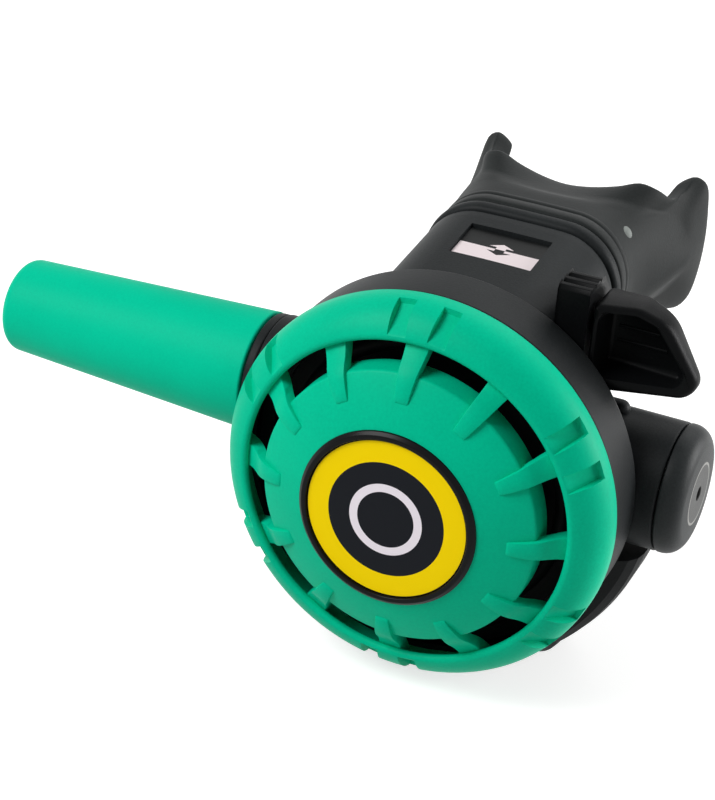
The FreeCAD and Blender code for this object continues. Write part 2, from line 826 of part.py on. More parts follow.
def lip_oval(y, half_w, crest_x, crest, dip):
    """Closed section of the flared skin at y, with a dip along the top and bottom."""
    c = tube_mid_z
    side = half_w - crest_x
    k = math.sqrt(0.5)
    pts = [(crest_x, c + crest),
           (crest_x + side * k, c + crest * k, half_w, c),
           (crest_x + side * k, c - crest * k, crest_x, c - crest),
           (0, c - dip, -crest_x, c - crest),
           (-crest_x - side * k, c - crest * k, -half_w, c),
           (-crest_x - side * k, c + crest * k, -crest_x, c + crest),
           (0, c + dip, crest_x, c + crest)]
    return Part.Wire(outline(pts, lambda x, z: V(x, y, z)))


def lip_skin(inset, y_start, y_end):
    """Flared body of the mouthpiece between the collar and the ends of the wings."""
    y1 = tube_len + tube_neck
    half_h = (tube_top(y1) - tube_low_z) / 2
    rows = [(y1, tube_half_w, tube_half_w - tube_corner, half_h - 0.4, half_h),
            (y1 + 8, tube_half_w + 0.9, lip_half_w - 5.6, half_h + 0.2, half_h),
            (lip_y - 3, wing_half_w - 6.6, lip_half_w - 1.8, lip_crest - 2.6, lip_crest - 4.2),
            (lip_y + 1, wing_half_w - 4.6, lip_half_w, lip_crest, lip_crest - 4.4),
            (lip_y + 7.5, wing_half_w - 1.6, lip_half_w + 1.0, lip_crest + 0.2, lip_crest - 3.9),
            (wing_back_y + 2, wing_half_w, lip_half_w + 1.2, lip_crest + 0.4, lip_crest - 3.0)]
    skins = [lip_oval(y, w - inset, x - inset * 0.3, h - inset, d - inset) for y, w, x, h, d in rows]
    skin = Part.makeLoft(skins, True, True)
    return skin.common(block(-far, far, y_start, y_end, -far, far))


def wing_side():
    """Side outline of the wings, with rounded corners at the back."""
    c, y, h = tube_mid_z, wing_back_y, wing_top
    pts = [(0, c - 40), (y - 7, c - 40), (y - 4, c - h - 1),
           (y - 0.7, c - h + 0.8, y, c - h + 4), (y, c + h - 3),
           (y - 0.6, c + h - 0.6, y - 3, c + h + 0.8), (y - 7, c + 40), (0, c + 40)]
    return prism_x(pts, -far, far)


def lip_plan():
    """Space behind the lip guard and between the wings, seen from above."""
    y, x = lip_y + lip_thick - 1, wing_half_w - 5.6
    pts = [(-lip_half_w + 0.5, y), (lip_half_w - 0.5, y), (x - 1.8, y + 2.2, x, y + 9),
           (x + 0.4, wing_back_y + 5), (-x - 0.4, wing_back_y + 5), (-x, y + 9),
           (-x + 1.8, y + 2.2, -lip_half_w + 0.5, y)]
    return face_of(outline(pts, lambda a, b: V(a, b, -far))).extrude(V(0, 0, 2 * far))


def bite_tab(side):
    """Tab held between the teeth, with a lug on its outer edge."""
    c = tube_mid_z
    y1 = lip_y + lip_thick - 1.5
    y2 = y1 + bite_len
    xs = sorted((side * bite_in_x, side * (bite_in_x + bite_w)))
    tab = block(xs[0], xs[1], y1, y2, c - bite_thick / 2, c + bite_thick / 2)
    tab = rounded(tab, bite_thick * 0.3, lambda m, e: abs(m.y - y2) < 0.1)
    ls = sorted((side * (bite_in_x + bite_w - 3.0), side * (bite_in_x + bite_w)))
    lug = block(ls[0], ls[1], y2 - 13, y2 - 2, c - bite_lug / 2, c + bite_lug / 2)
    lug = rounded(lug, 1.2, lambda m, e: abs(abs(m.z - c) - bite_lug / 2) < 0.1)
    return tab.fuse(lug)


def mouthpiece():
    """Silicone mouthpiece: collar, flared skin with swept wings, and two bite tabs."""
    y0 = tube_len + gap
    y1 = tube_len + tube_neck
    c = tube_mid_z
    skin = lip_skin(0, y1, wing_back_y + 1).common(wing_side())
    hollow = lip_skin(lip_thick, lip_y + lip_thick - 1, wing_back_y + 2)
    skin = skin.cut(hollow.fuse(lip_plan()))
    body = tube_span(y0, y1).fuse(skin)
    for side in (-1, 1):
        body = body.fuse(bite_tab(side))
    neck = tube_span(y0 - 1, y1 + gap, fit - neck_step)
    airway = Part.makeLoft([oval(y1, airway_half_w + 2, c - airway_half_h - 1, c + airway_half_h + 1, 8),
                            oval(lip_y + 6, airway_half_w, c - airway_half_h, c + airway_half_h, 8)],
                           True, True)
    groove = clamp_band(-clamp_deep - fit, clamp_proud + 2, fit)
    return body.cut(neck).cut(airway).cut(groove).removeSplitter()


def clamp_band(inside, outside, slack):
    """Oval band in the groove of the mouthpiece's collar."""
    y1 = tube_len + gap + 1.0 - slack
    y2 = y1 + clamp_len + 2 * slack
    return tube_span(y1, y2, outside).cut(tube_span(y1 - 0.1, y2 + 0.1, inside))


def mouthpiece_clamp():
    band = clamp_band(-clamp_deep + fit, clamp_proud, 0.0)
    return band


def exhaust_valve():
    """Silicone mushroom valve over the spoked port."""
    z = port_z - fit
    t = exhaust_valve_thick
    face = face_of(outline([(0, z), (exhaust_valve_r, z), (exhaust_valve_r + 0.2, z - t),
                            (exhaust_valve_r - 3, z - t - 0.4), (2.4, z - t - 1.0), (0, z - t - 1.0)],
                           flat_xz))
    disc = face.revolve(V(0, 0, 0), V(0, 0, 1), 360)
    disc.translate(V(0, port_y, 0))
    stem = rod_z(port_stem_r - fit, z - t, port_z + port_hub, 0, port_y)
    return disc.fuse(stem).removeSplitter()


def tee_wire(inset, y, end_z):
    """Front outline of the exhaust tee at y, set in from its outer skin."""
    low = tee_low_z + inset
    ex, ez = tee_end_x - inset, end_z
    hw = tee_half_low - inset * 0.4
    inner = body_r - 1.5
    end_in = math.sqrt(inner ** 2 - ez ** 2)
    pts = [(-ex, ez), (-end_in, ez), (0, -inner, end_in, ez), (ex, ez),
           (ex - 5.6, ez - 14.8 + inset * 0.4, hw + 6.0, low + 4.0), (hw + 3.8, low + 1.1, hw, low),
           (-hw, low), (-hw - 3.8, low + 1.1, -hw - 6.0, low + 4.0),
           (-ex + 5.6, ez - 14.8 + inset * 0.4, -ex, ez)]
    return Part.Wire(outline(pts, lambda x, z: V(x, y, z)))


def tee_form(inset):
    """Body of the tee with rounded front and back rims, set in from its skin."""
    turn = tee_round - inset
    end_z = tee_end_z - inset
    steps = [math.radians(90.0 * k / tee_round_steps) for k in range(tee_round_steps + 1)]
    rows = [(turn * (1 - math.sin(t)), turn * (1 - math.cos(t))) for t in steps]
    front, back = tee_front_y + inset, tee_back_y - inset
    wires = [tee_wire(inset + d, front + rise, end_z) for d, rise in rows]
    wires += [tee_wire(inset + d, back - rise, end_z) for d, rise in reversed(rows)]
    return Part.makeLoft(wires, True, True)


def tee_outlet(side):
    """Rounded window in the back of one horn, where the bubbles leave."""
    xs = sorted((side * outlet_in_x, side * outlet_out_x))
    window = block(xs[0], xs[1], tee_back_y - tee_wall - 2, tee_back_y + 1, outlet_low_z, outlet_top_z)
    corners = [e for e in window.Edges if abs(e.Vertexes[0].Y - e.Vertexes[-1].Y) > tee_wall]
    return window.makeFillet(outlet_round, corners)


def exhaust_tee():
    """Hollow tee under the case with one horn at each side, open to the back."""
    tee = tee_form(0.0).cut(tee_form(tee_wall))
    collar = rod_z(pad_r + tee_wall, port_z + edge, -body_r + tee_wall, 0, port_y)
    tee = tee.fuse(collar.common(rod_y(far, tee_front_y, tee_back_y)))
    tee = tee.cut(rod_z(pad_r + fit, port_z - gap, 0, 0, port_y))
    tee = tee.cut(rod_z(pad_r - tee_wall, port_z - 2 * tee_wall, 0, 0, port_y))
    tee = tee.cut(rod_y(body_r + gap, -far, far))
    for side in (-1, 1):
        tee = tee.cut(tee_outlet(side))
    return tee.removeSplitter()


def paddle_outline(inset):
    """Front outline of the paddle; its inner side clears the round of the case."""
    x0 = lever_x() + 0.6 + inset
    top = paddle_top_z - inset
    low = paddle_low_z + inset
    out = paddle_reach - inset
    clear = math.sqrt((body_r + 1.0) ** 2 - paddle_low_z ** 2) + inset
    k = inset * 0.4
    return [(x0, top - 0.8), (x0 + 6.0, top), (out - 7.1 + k, hub_z + 3.4 - k, out - 0.2, low + 6.0),
            (out - 0.2, low + 3.4, out - 2.4, low + 2.4), (clear + 2.0, low),
            (clear, low + 0.3, clear - 1.0, low + 2.0), (x0, low + 10.0)]


def venturi_lever():
    """Moulded lever: round root beside the index block and a dished paddle for the thumb."""
    x0 = lever_x()
    flat = face_of(outline(paddle_outline(0.0), lambda x, z: V(x, paddle_root_y - 2, z)))
    paddle = flat.extrude(V(0, paddle_back_y - paddle_root_y + 2, 0))
    front = [(x0 - 1, -far), (paddle_reach + 5, -far), (paddle_reach + 5, paddle_tip_y + 0.6),
             (x0 - 1, paddle_root_y)]
    paddle = paddle.cut(face_of(outline(front, flat_xy)).extrude(V(0, 0, far)))
    dish = face_of(outline(paddle_outline(paddle_rim), lambda x, z: V(x, -far, z)))
    floor_y = paddle_back_y - dish_floor
    paddle = paddle.cut(dish.extrude(V(0, floor_y + far, 0)))
    for k in (1, 2):
        z = paddle_low_z + paddle_rim + k * 5.0
        bar = block(x0 + paddle_rim, paddle_reach - 3.5 - 2.0 * k, floor_y - 0.5, floor_y + 0.2,
                    z - 0.4, z + 0.4)
        paddle = paddle.fuse(bar)
    root = rod_x(hub_r, x0, x0 + paddle_rim, hub_y, hub_z)
    root = root.common(block(x0, x0 + far, paddle_root_y - 1.2, paddle_back_y + 1.5, 0, far))
    lever = paddle.fuse(root)
    return lever.cut(rod_x(shaft_r + fit, x0 - 1, x0 + paddle_rim - shaft_seat, hub_y, hub_z))


def venturi_vane():
    """Shaft with a flat vane that turns the air in the tube."""
    shaft = rod_x(shaft_r, shaft_in_x, lever_x() + paddle_rim - shaft_seat - fit, hub_y, hub_z)
    vane = block(shaft_in_x, shaft_in_x + vane_w, hub_y - vane_thick / 2, hub_y + vane_thick / 2,
                 hub_z - vane_len, hub_z)
    return shaft.fuse(vane).removeSplitter()


def venturi_o_ring():
    radius = shaft_r + shaft_cup - shaft_o_ring - 0.08
    middle = V(lever_x() - shaft_cup_len + 2 * shaft_o_ring, hub_y, hub_z)
    return Part.makeTorus(radius, shaft_o_ring, middle, V(1, 0, 0))


pieces = [case_housing, cover_ring, cover_slip_ring, purge_dome, badge_bezel, badge_disc,
          diaphragm, diaphragm_plate, valve_barrel, barrel_nut, barrel_o_rings, orifice,
          orifice_o_ring, poppet, poppet_seat, poppet_spring, spring_adjuster, adjuster_o_ring,
          demand_lever, end_cap, inlet_collar, hose_swivel_nut, hose_stem, hose_stem_o_ring,
          hose_ferrule, hose_protector, mouthpiece, mouthpiece_clamp, exhaust_valve,
          exhaust_tee, label_plate, venturi_lever, venturi_vane, venturi_o_ring]
for piece in pieces:
    write(piece.__name__, piece())
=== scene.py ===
import math

import bmesh
import bpy
from mathutils import Matrix, Vector


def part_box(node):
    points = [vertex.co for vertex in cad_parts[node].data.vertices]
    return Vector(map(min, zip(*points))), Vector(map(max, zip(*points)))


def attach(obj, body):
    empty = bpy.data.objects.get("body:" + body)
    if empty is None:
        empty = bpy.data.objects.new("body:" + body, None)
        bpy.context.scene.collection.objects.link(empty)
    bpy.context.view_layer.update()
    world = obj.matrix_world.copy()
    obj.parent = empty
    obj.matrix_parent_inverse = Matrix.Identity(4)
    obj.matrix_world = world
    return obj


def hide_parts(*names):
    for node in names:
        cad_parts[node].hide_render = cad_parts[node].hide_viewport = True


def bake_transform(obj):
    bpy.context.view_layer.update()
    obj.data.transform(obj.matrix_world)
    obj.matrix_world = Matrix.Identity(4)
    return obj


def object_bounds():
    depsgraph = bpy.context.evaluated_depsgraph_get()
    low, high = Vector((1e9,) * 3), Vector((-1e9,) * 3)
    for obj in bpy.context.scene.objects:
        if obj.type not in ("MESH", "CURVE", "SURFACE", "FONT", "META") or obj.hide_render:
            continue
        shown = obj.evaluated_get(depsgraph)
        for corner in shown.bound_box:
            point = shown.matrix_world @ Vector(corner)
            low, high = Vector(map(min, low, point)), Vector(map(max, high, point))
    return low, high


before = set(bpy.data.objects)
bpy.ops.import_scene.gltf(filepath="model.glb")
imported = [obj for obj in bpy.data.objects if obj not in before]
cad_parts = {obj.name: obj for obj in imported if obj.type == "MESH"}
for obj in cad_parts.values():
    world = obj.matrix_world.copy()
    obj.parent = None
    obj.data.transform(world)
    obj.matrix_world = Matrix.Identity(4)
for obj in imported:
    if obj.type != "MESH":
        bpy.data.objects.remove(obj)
cad_low, cad_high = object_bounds()


# ---- Case -------------------------------------------------------------------
# The case is one moulding of glass-filled nylon: a round body with a front band,
# a boss at each side for the valve, and the flat tube that leads to the mouth.

disc_low, disc_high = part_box("badge_disc")
centre_x = (disc_low.x + disc_high.x) / 2
rim_y = -0.0133


def at(x, y, z):
    """Millimetres from the middle of the case's front band to metres in the frame."""
    return Vector((centre_x + x / 1000, rim_y + y / 1000, z / 1000))


def rounded(corners, closed=False, turn=6.0):
    """Points along a line of corners (a, b) or (a, b, radius), with the corners rounded."""
    points = []
    count = len(corners)
    for i, corner in enumerate(corners):
        here = Vector(corner[:2])
        radius = corner[2] if len(corner) > 2 else 0.0
        if radius <= 0 or (not closed and i in (0, count - 1)):
            points.append(here)
            continue
        back = (Vector(corners[i - 1][:2]) - here).normalized()
        ahead = (Vector(corners[(i + 1) % count][:2]) - here).normalized()
        half = back.angle(ahead) / 2
        run = radius / math.tan(half)
        middle = here + (back + ahead).normalized() * (radius / math.sin(half))
        first = here + back * run - middle
        last = here + ahead * run - middle
        sweep = math.pi - 2 * half
        side = 1.0 if first.x * last.y - first.y * last.x > 0 else -1.0
        steps = max(2, math.ceil(math.degrees(sweep) / turn))
        for k in range(steps + 1):
            t = side * sweep * k / steps
            points.append(middle + Vector((first.x * math.cos(t) - first.y * math.sin(t),
                                           first.x * math.sin(t) + first.y * math.cos(t))))
    return points


def piece(name, body, slot, points, faces, material, crease=32.0):
    """A shaded mesh that rides on a body; edges sharper than crease stay crisp."""
    mesh = bpy.data.meshes.new(name)
    mesh.from_pydata([tuple(p) for p in points], [], faces)
    work = bmesh.new()
    work.from_mesh(mesh)
    bmesh.ops.remove_doubles(work, verts=work.verts, dist=1e-7)
    bmesh.ops.recalc_face_normals(work, faces=work.faces)
    if work.calc_volume(signed=True) < 0:
        bmesh.ops.reverse_faces(work, faces=work.faces)
    work.to_mesh(mesh)
    work.free()
    mesh.shade_smooth()
    mesh.set_sharp_from_angle(angle=math.radians(crease))
    mesh.materials.append(material)
    made = bpy.data.objects.new(name, mesh)
    bpy.context.scene.collection.objects.link(made)
    if body:
        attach(made, body)
    return made


def skin(rows, closed_rows=False, caps=True):
    """Points and quads through rows of points; each row is a closed loop."""
    points = [p for row in rows for p in row]
    width = len(rows[0])
    faces = []
    count = len(rows)
    for i in range(count if closed_rows else count - 1):
        a, b = i * width, (i + 1) % count * width
        for j in range(width):
            k = (j + 1) % width
            faces.append((a + j, a + k, b + k, b + j))
    if caps and not closed_rows:
        faces.append(tuple(range(width - 1, -1, -1)))
        faces.append(tuple((count - 1) * width + j for j in range(width)))
    return points, faces


def turned_y(line, steps=192):
    """Rows for a turned form about the case's axis; line holds (y, radius)."""
    return [[at(r * math.cos(t), y, r * math.sin(t))
             for t in (2 * math.pi * k / steps for k in range(steps))] for y, r in line]


valve_y = 13.3


def turned_x(line, steps=128, y=valve_y, z=0.0):
    """Rows for a turned form about the valve's axis, or one beside it; line holds (x, radius)."""
    return [[at(x, y + r * math.cos(t), z + r * math.sin(t))
             for t in (2 * math.pi * k / steps for k in range(steps))] for x, r in line]


def linear(hex_colour):
    """sRGB hex to linear RGBA."""
    parts = [int(hex_colour[i:i + 2], 16) / 255 for i in (1, 3, 5)]
    return [c / 12.92 if c <= 0.04045 else ((c + 0.055) / 1.055) ** 2.4 for c in parts] + [1.0]


def add(tree, kind, inputs=None, **settings):
    """One node, with its settings, and its inputs set or linked."""
    made = tree.nodes.new(kind)
    for key, value in settings.items():
        setattr(made, key, value)
    for key, value in (inputs or {}).items():
        if isinstance(value, bpy.types.NodeSocket):
            tree.links.new(value, made.inputs[key])
        else:
            made.inputs[key].default_value = value
    return made


def start(name):
    """A new material: its tree, its principled shader and the object's own coordinates."""
    made = bpy.data.materials.new(name)
    made.use_nodes = True
    tree = made.node_tree
    shader = tree.nodes["Principled BSDF"]
    place = add(tree, "ShaderNodeTexCoord").outputs["Object"]
    return made, tree, shader, place


def moulded(name, colour, pale, rough, grain_mm, depth_mm, gloss=0.3):
    """A moulded surface: fine grain, faint clouds of colour, duller and shinier patches."""
    cloud_mm = 22.0
    made, tree, shader, place = start(name)
    grain = add(tree, "ShaderNodeTexNoise", {"Vector": place, "Scale": 1000 / grain_mm, "Detail": 3.0,
                                             "Roughness": 0.6})
    cloud = add(tree, "ShaderNodeTexNoise", {"Vector": place, "Scale": 1000 / cloud_mm,
                                             "Detail": 4.0})
    both = add(tree, "ShaderNodeMath", {0: grain.outputs["Fac"], 1: cloud.outputs["Fac"]},
               operation="ADD")
    share = add(tree, "ShaderNodeMapRange", {"Value": both.outputs["Value"], "From Min": 0.7,
                                             "From Max": 1.3})
    tint = add(tree, "ShaderNodeMix", {"Factor": share.outputs["Result"], "A": linear(colour),
                                       "B": linear(pale)}, data_type="RGBA")
    tree.links.new(tint.outputs["Result"], shader.inputs["Base Color"])
    dull = add(tree, "ShaderNodeMapRange", {"Value": cloud.outputs["Fac"], "To Min": rough - 0.06,
                                            "To Max": rough + 0.06})
    tree.links.new(dull.outputs["Result"], shader.inputs["Roughness"])
    bump = add(tree, "ShaderNodeBump", {"Height": grain.outputs["Fac"], "Strength": 0.6,
                                        "Distance": depth_mm / 1000})
    tree.links.new(bump.outputs["Normal"], shader.inputs["Normal"])
    shader.inputs["IOR"].default_value = 1.5
    shader.inputs["Specular IOR Level"].default_value = gloss
    return made


# Glass-filled nylon from a spark-eroded mould: dark grey, dull, with a broad soft sheen.
grained_nylon = moulded("grained_nylon", "#181A1B", "#222526", 0.46, 0.45, 0.06, gloss=0.08)

band_r = 42.5
body_r = 33.0
body_depth = 26.0
case_line = rounded([(-15.5, 38.0), (-15.5, 39.8), (-13.0, 39.8), (-13.0, band_r, 0.6),
                     (-0.1, band_r, 1.1), (-0.1, 38.6, 1.2), (1.6, body_r, 2.0),
                     (body_depth, body_r, 11.0), (body_depth, 0.05)])
case_body = piece("case_body", "regulator_case", "case_black",
                  *skin(turned_y(case_line), caps=False), grained_nylon)

tube_low = 13.0
tube_half = 22.6
tube_corner = 13.0
tube_crown = 0.7
tube_front_top = 38.2
tube_slope = 4.3 / 32.0
tube_columns = 144


def tube_top(y):
    """The tube's top rises a little from the body to the mouth."""
    return tube_front_top + tube_slope * y


def evenly(line, count):
    """Points at even spacing round a closed line."""
    sides = [(q - p).length for p, q in zip(line, line[1:] + line[:1])]
    step = sum(sides) / count
    points, i, done = [], 0, 0.0
    for k in range(count):
        while done + sides[i] < k * step - 1e-9:
            done += sides[i]
            i += 1
        points.append(line[i].lerp(line[(i + 1) % len(line)], (k * step - done) / sides[i]))
    return points


def tube_section(y, grow=0.0):
    """The flat tube's section at y from its top centre to the right, as (x, z)."""
    top, half, low = tube_top(y) + grow, tube_half + grow, tube_low - grow
    turn = tube_corner + grow
    line = rounded([(0, top), (half, top, turn), (half, low, turn), (-half, low, turn),
                    (-half, top, turn)], closed=True, turn=5.0)
    middle = (top + low) / 2
    return [Vector((p.x, p.y + tube_crown * (1 - (p.x / half) ** 2) * (1 if p.y > middle else -1)))
            for p in evenly(line, tube_columns)]


def tube_row(y, grow=0.0):
    """A plain row round the tube, for what goes over it."""
    return [at(p.x, y, p.y) for p in tube_section(y, grow)]


# The window for the label is a pocket in the tube's top, a sliding fit round the label.
label_low, label_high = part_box("label_plate")
label_play = 0.15
window_half = (label_high.x - label_low.x) * 500 + label_play
window_front = (label_low.y - rim_y) * 1000 - label_play
window_back = (label_high.y - rim_y) * 1000 + label_play
window_depth = 0.9
window_edge = 0.02
window_column = 12


def wall_row(y, grow=0.0, sunk=False):
    """A row of the tube's outer wall; two columns a side stand at the window's edge."""
    points = []
    for i, p in enumerate(tube_section(y, grow)):
        place = min(i, tube_columns - i)
        if place in (window_column - 1, window_column):
            x = math.copysign(window_half + window_edge * (place - window_column), p.x)
            p = Vector((x, tube_top(y) + grow + tube_crown * (1 - (x / tube_half) ** 2)))
        if sunk and place < window_column:
            p = Vector((p.x, tube_top(y) - window_depth))
        points.append(at(p.x, y, p.y))
    return points


tube_steps = [(-1.5, 0), (1, 0), (4, 0), (10, 0), (window_front, 0),
              (window_front + window_edge, 0, True), (17, 0, True), (21, 0, True),
              (window_back - window_edge, 0, True), (window_back, 0), (29, 0), (31.1, 0),
              (31.7, -0.25), (32.0, -0.8), (32.0, -2.6), (41.3, -2.6), (41.3, -4.1), (10, -4.1)]
piece("case_tube", "regulator_case", "case_black",
      *skin([wall_row(*step) for step in tube_steps], closed_rows=True), grained_nylon)

boss_r = 14.1
boss_line = rounded([(20, boss_r), (46.5, boss_r, 0.5), (46.5, 11.0, 0.3), (41.5, 11.0), (41.5, 6.9)])
piece("case_boss", "regulator_case", "case_black", *skin(turned_x(boss_line), caps=False),
      grained_nylon)
# A short round rib stiffens the right boss where it leaves the body.
boss_rib_r, boss_rib_end, boss_rib_y, boss_rib_z = 2.0, 34.6, 14.0, 14.4
boss_rib_line = rounded([(24, boss_rib_r), (boss_rib_end, boss_rib_r, 1.9), (boss_rib_end, 0.05)],
                        turn=10.0)
piece("boss_rib", "regulator_case", "case_black",
      *skin(turned_x(boss_rib_line, 48, boss_rib_y, boss_rib_z), caps=False), grained_nylon)
inlet_line = rounded([(-20, boss_r), (-47.8, boss_r, 0.5), (-47.8, 7.1)])
piece("case_inlet", "regulator_case", "case_black", *skin(turned_x(inlet_line), caps=False),
      grained_nylon)
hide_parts("case_housing")


def mm_from(tree, place, middle, axes=(1.0, 1.0, 1.0)):
    """Millimetres from the middle of a print, along the axes that count."""
    away = add(tree, "ShaderNodeVectorMath", {0: place, 1: middle}, operation="SUBTRACT")
    return add(tree, "ShaderNodeVectorMath", {0: away.outputs["Vector"], 1: Vector(axes) * 1000},
               operation="MULTIPLY").outputs["Vector"]


# Label: a printed polyester plate in the window, dark at the back and white in front, with an
# arrow each way for the lever's two settings. Ink under a matt film: flat colour, little shine.
stem_end, stem_half = 0.9, 1.1
head_end, head_half = 2.3, 2.8
wider_than_head = 9.0
label_print, tree, shader, place = start("matt_film_print")
label_middle = (label_low + label_high) / 2
part = add(tree, "ShaderNodeSeparateXYZ", {"Vector": mm_from(tree, place, label_middle)})
across = add(tree, "ShaderNodeMath", {0: part.outputs["X"]}, operation="ABSOLUTE")
away = add(tree, "ShaderNodeMath", {0: part.outputs["Y"]}, operation="ABSOLUTE")
past_stem = add(tree, "ShaderNodeMath", {0: away.outputs["Value"], 1: stem_end},
                operation="GREATER_THAN")
stem = add(tree, "ShaderNodeMath", {0: past_stem.outputs["Value"], 1: wider_than_head, 2: stem_half},
           operation="MULTIPLY_ADD")
head = add(tree, "ShaderNodeMapRange", {"Value": away.outputs["Value"], "From Min": stem_end,
                                        "From Max": head_end, "To Min": head_half, "To Max": 0.0})
reach = add(tree, "ShaderNodeMath", {0: stem.outputs["Value"], 1: head.outputs["Result"]},
            operation="MINIMUM")
arrow = add(tree, "ShaderNodeMath", {0: across.outputs["Value"], 1: reach.outputs["Value"]},
            operation="LESS_THAN")
front = add(tree, "ShaderNodeMath", {0: part.outputs["Y"], 1: 0.0}, operation="LESS_THAN")
change = add(tree, "ShaderNodeMath", {0: front.outputs["Value"], 1: arrow.outputs["Value"]},
             operation="SUBTRACT")
pale = add(tree, "ShaderNodeMath", {0: change.outputs["Value"]}, operation="ABSOLUTE")
smear = add(tree, "ShaderNodeTexNoise", {"Vector": place, "Scale": 1000 / 3.0, "Detail": 3.0})
ink = add(tree, "ShaderNodeMix", {"Factor": pale.outputs["Value"], "A": linear("#0D0F0F"),
                                  "B": linear("#E4D8DA")}, data_type="RGBA")
tree.links.new(ink.outputs["Result"], shader.inputs["Base Color"])
dull = add(tree, "ShaderNodeMapRange", {"Value": smear.outputs["Fac"], "To Min": 0.38,
                                        "To Max": 0.52})
tree.links.new(dull.outputs["Result"], shader.inputs["Roughness"])
shader.inputs["Specular IOR Level"].default_value = 0.15


def finish(material, *nodes):
    """Gives carried-over nodes of the frame their finish."""
    for node in nodes:
        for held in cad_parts[node].material_slots:
            held.material = material


finish(label_print, "label_plate")


# ---- Cover ring ---------------------------------------------------------------
# The cover ring screws onto the case's band and holds the diaphragm down. It is moulded
# in green polyurethane, with recessed grips in pairs for the fingers.

# Satin moulded polyurethane: an even green, slightly waxy, with soft highlights.
satin_polyurethane = moulded("satin_polyurethane", "#00B68D", "#00C397", 0.42, 0.6, 0.03,
                             gloss=0.045)

ring_round, ring_round_r, ring_round_y = 8.88, 34.12, -15.67
ring_sweep, ring_steps = 70.2, 40
ring_outer_r, ring_back_y = 43.0, -13.7
grip_half, grip_wall = 2.0, 0.14
grip_in_r, grip_in_y = 37.25, -23.95
grip_out_r, grip_out_y = 41.6, -17.5
grip_turn = 6.6
grip_angles = [30 + 60 * k + turn for k in range(6) for turn in (-grip_turn, grip_turn)]
grip_across = [-2.7, -2.15, -grip_half, grip_wall - grip_half, -1.2, 0, 1.2, grip_half - grip_wall,
               grip_half, 2.15, 2.7]
off_grip = 9.0
pair_steps, open_steps = 8, 54
wall_before, wall_after = 0.004, 0.012
wall_drop = ring_round_y - grip_out_y
wall_turns = [math.asin(wall_drop / ring_round), math.atan2(wall_drop, grip_out_r - ring_round_r)]


def grip_floor(a):
    """Distance of a recess's floor from the middle of the ring's round, at an angle on it."""
    run, rise = grip_out_r - grip_in_r, grip_out_y - grip_in_y
    off = (grip_in_r - ring_round_r) * rise - (grip_in_y - ring_round_y) * run
    floor = off / (math.cos(a) * rise + math.sin(a) * run)
    return min(ring_round, max(floor, wall_drop / math.sin(a)))


def ring_columns(r):
    """Angle and place across a recess for each column, with parallel lines along a recess."""
    columns = []
    count = len(grip_angles)
    for k, angle in enumerate(grip_angles):
        columns += [(math.radians(angle) + math.asin(c / r), abs(c)) for c in grip_across]
        after = math.radians(grip_angles[(k + 1) % count] + (360 if k == count - 1 else 0))
        first, last = columns[-1][0], after + math.asin(grip_across[0] / r)
        steps = pair_steps if k % 2 == 0 else open_steps
        columns += [(first + (last - first) * i / steps, off_grip) for i in range(1, steps)]
    return columns


def ring_rows():
    """Rows round the ring's section, sunk where the recesses are."""
    turns = sorted([math.radians(ring_sweep) * k / ring_steps for k in range(1, ring_steps + 1)]
                   + wall_turns + [wall_turns[0] - wall_before, wall_turns[1] + wall_after])
    rows = []
    for a in turns:
        r = ring_round_r + ring_round * math.cos(a)
        row = []
        for t, across in ring_columns(r):
            sunk = across < grip_half - 0.01 and a > wall_turns[0] - 0.001
            reach = grip_floor(a) if sunk else ring_round
            there = ring_round_r + reach * math.cos(a)
            row.append(at(there * math.cos(t), ring_round_y - reach * math.sin(a),
                          there * math.sin(t)))
        rows.append(row)
    lip = rounded([(-24.05, 36.9), (-24.0, 35.9, 0.9), (-22.9, 35.8, 0.3), (-21.9, 36.4, 0.3),
                   (-19.6, 39.0, 0.5), (ring_back_y, 39.5), (ring_back_y, 42.3),
                   (ring_back_y, ring_outer_r, 0.4), (ring_round_y, ring_outer_r)], turn=12.0)
    rows += [[at(r * math.cos(t), y, r * math.sin(t)) for t, _ in ring_columns(r)] for y, r in lip]
    return rows


cover_ring = piece("cover_ring_skin", "regulator_case", "cover_green",
                   *skin(ring_rows(), closed_rows=True), satin_polyurethane)
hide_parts("cover_ring")


# ---- Purge button -------------------------------------------------------------
# The middle of the cover is the purge button, a green dome that the thumb presses in.
# Twelve curved ribs hang it inside the ring and bend with it.

dome_apex = -34.2
dome_ball = 62.0
dome_in_r, dome_step = 18.4, 0.65
dome_edge_r, dome_rim_y = 30.5, -20.2


def dome_y(r):
    """The y of the dome's face at a distance from its middle."""
    return dome_apex + dome_ball - math.sqrt(dome_ball ** 2 - r ** 2)


dome_line = [(dome_y(r), r) for r in (dome_in_r + k * dome_step for k in range(18))]
dome_edge = rounded([dome_line[-1], (dome_y(dome_edge_r), dome_edge_r, 0.9),
                     (dome_rim_y, dome_edge_r, 0.3), (dome_rim_y, 28.6), (-24.0, 28.0, 1.0),
                     (-28.0, 20.0)], turn=8.0)
purge_dome = piece("purge_dome_skin", "purge_button", "dome_green",
                   *skin(turned_y([Vector(p) for p in dome_line] + dome_edge[1:]), caps=False),
                   satin_polyurethane)
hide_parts("purge_dome")


def softened(line, times=3):
    """An open line with its corners cut, keeping its two ends."""
    for _ in range(times):
        cut = [line[0]]
        for p, q in zip(line, line[1:]):
            cut += [p.lerp(q, 0.25), p.lerp(q, 0.75)]
        line = cut + [line[-1]]
    return line


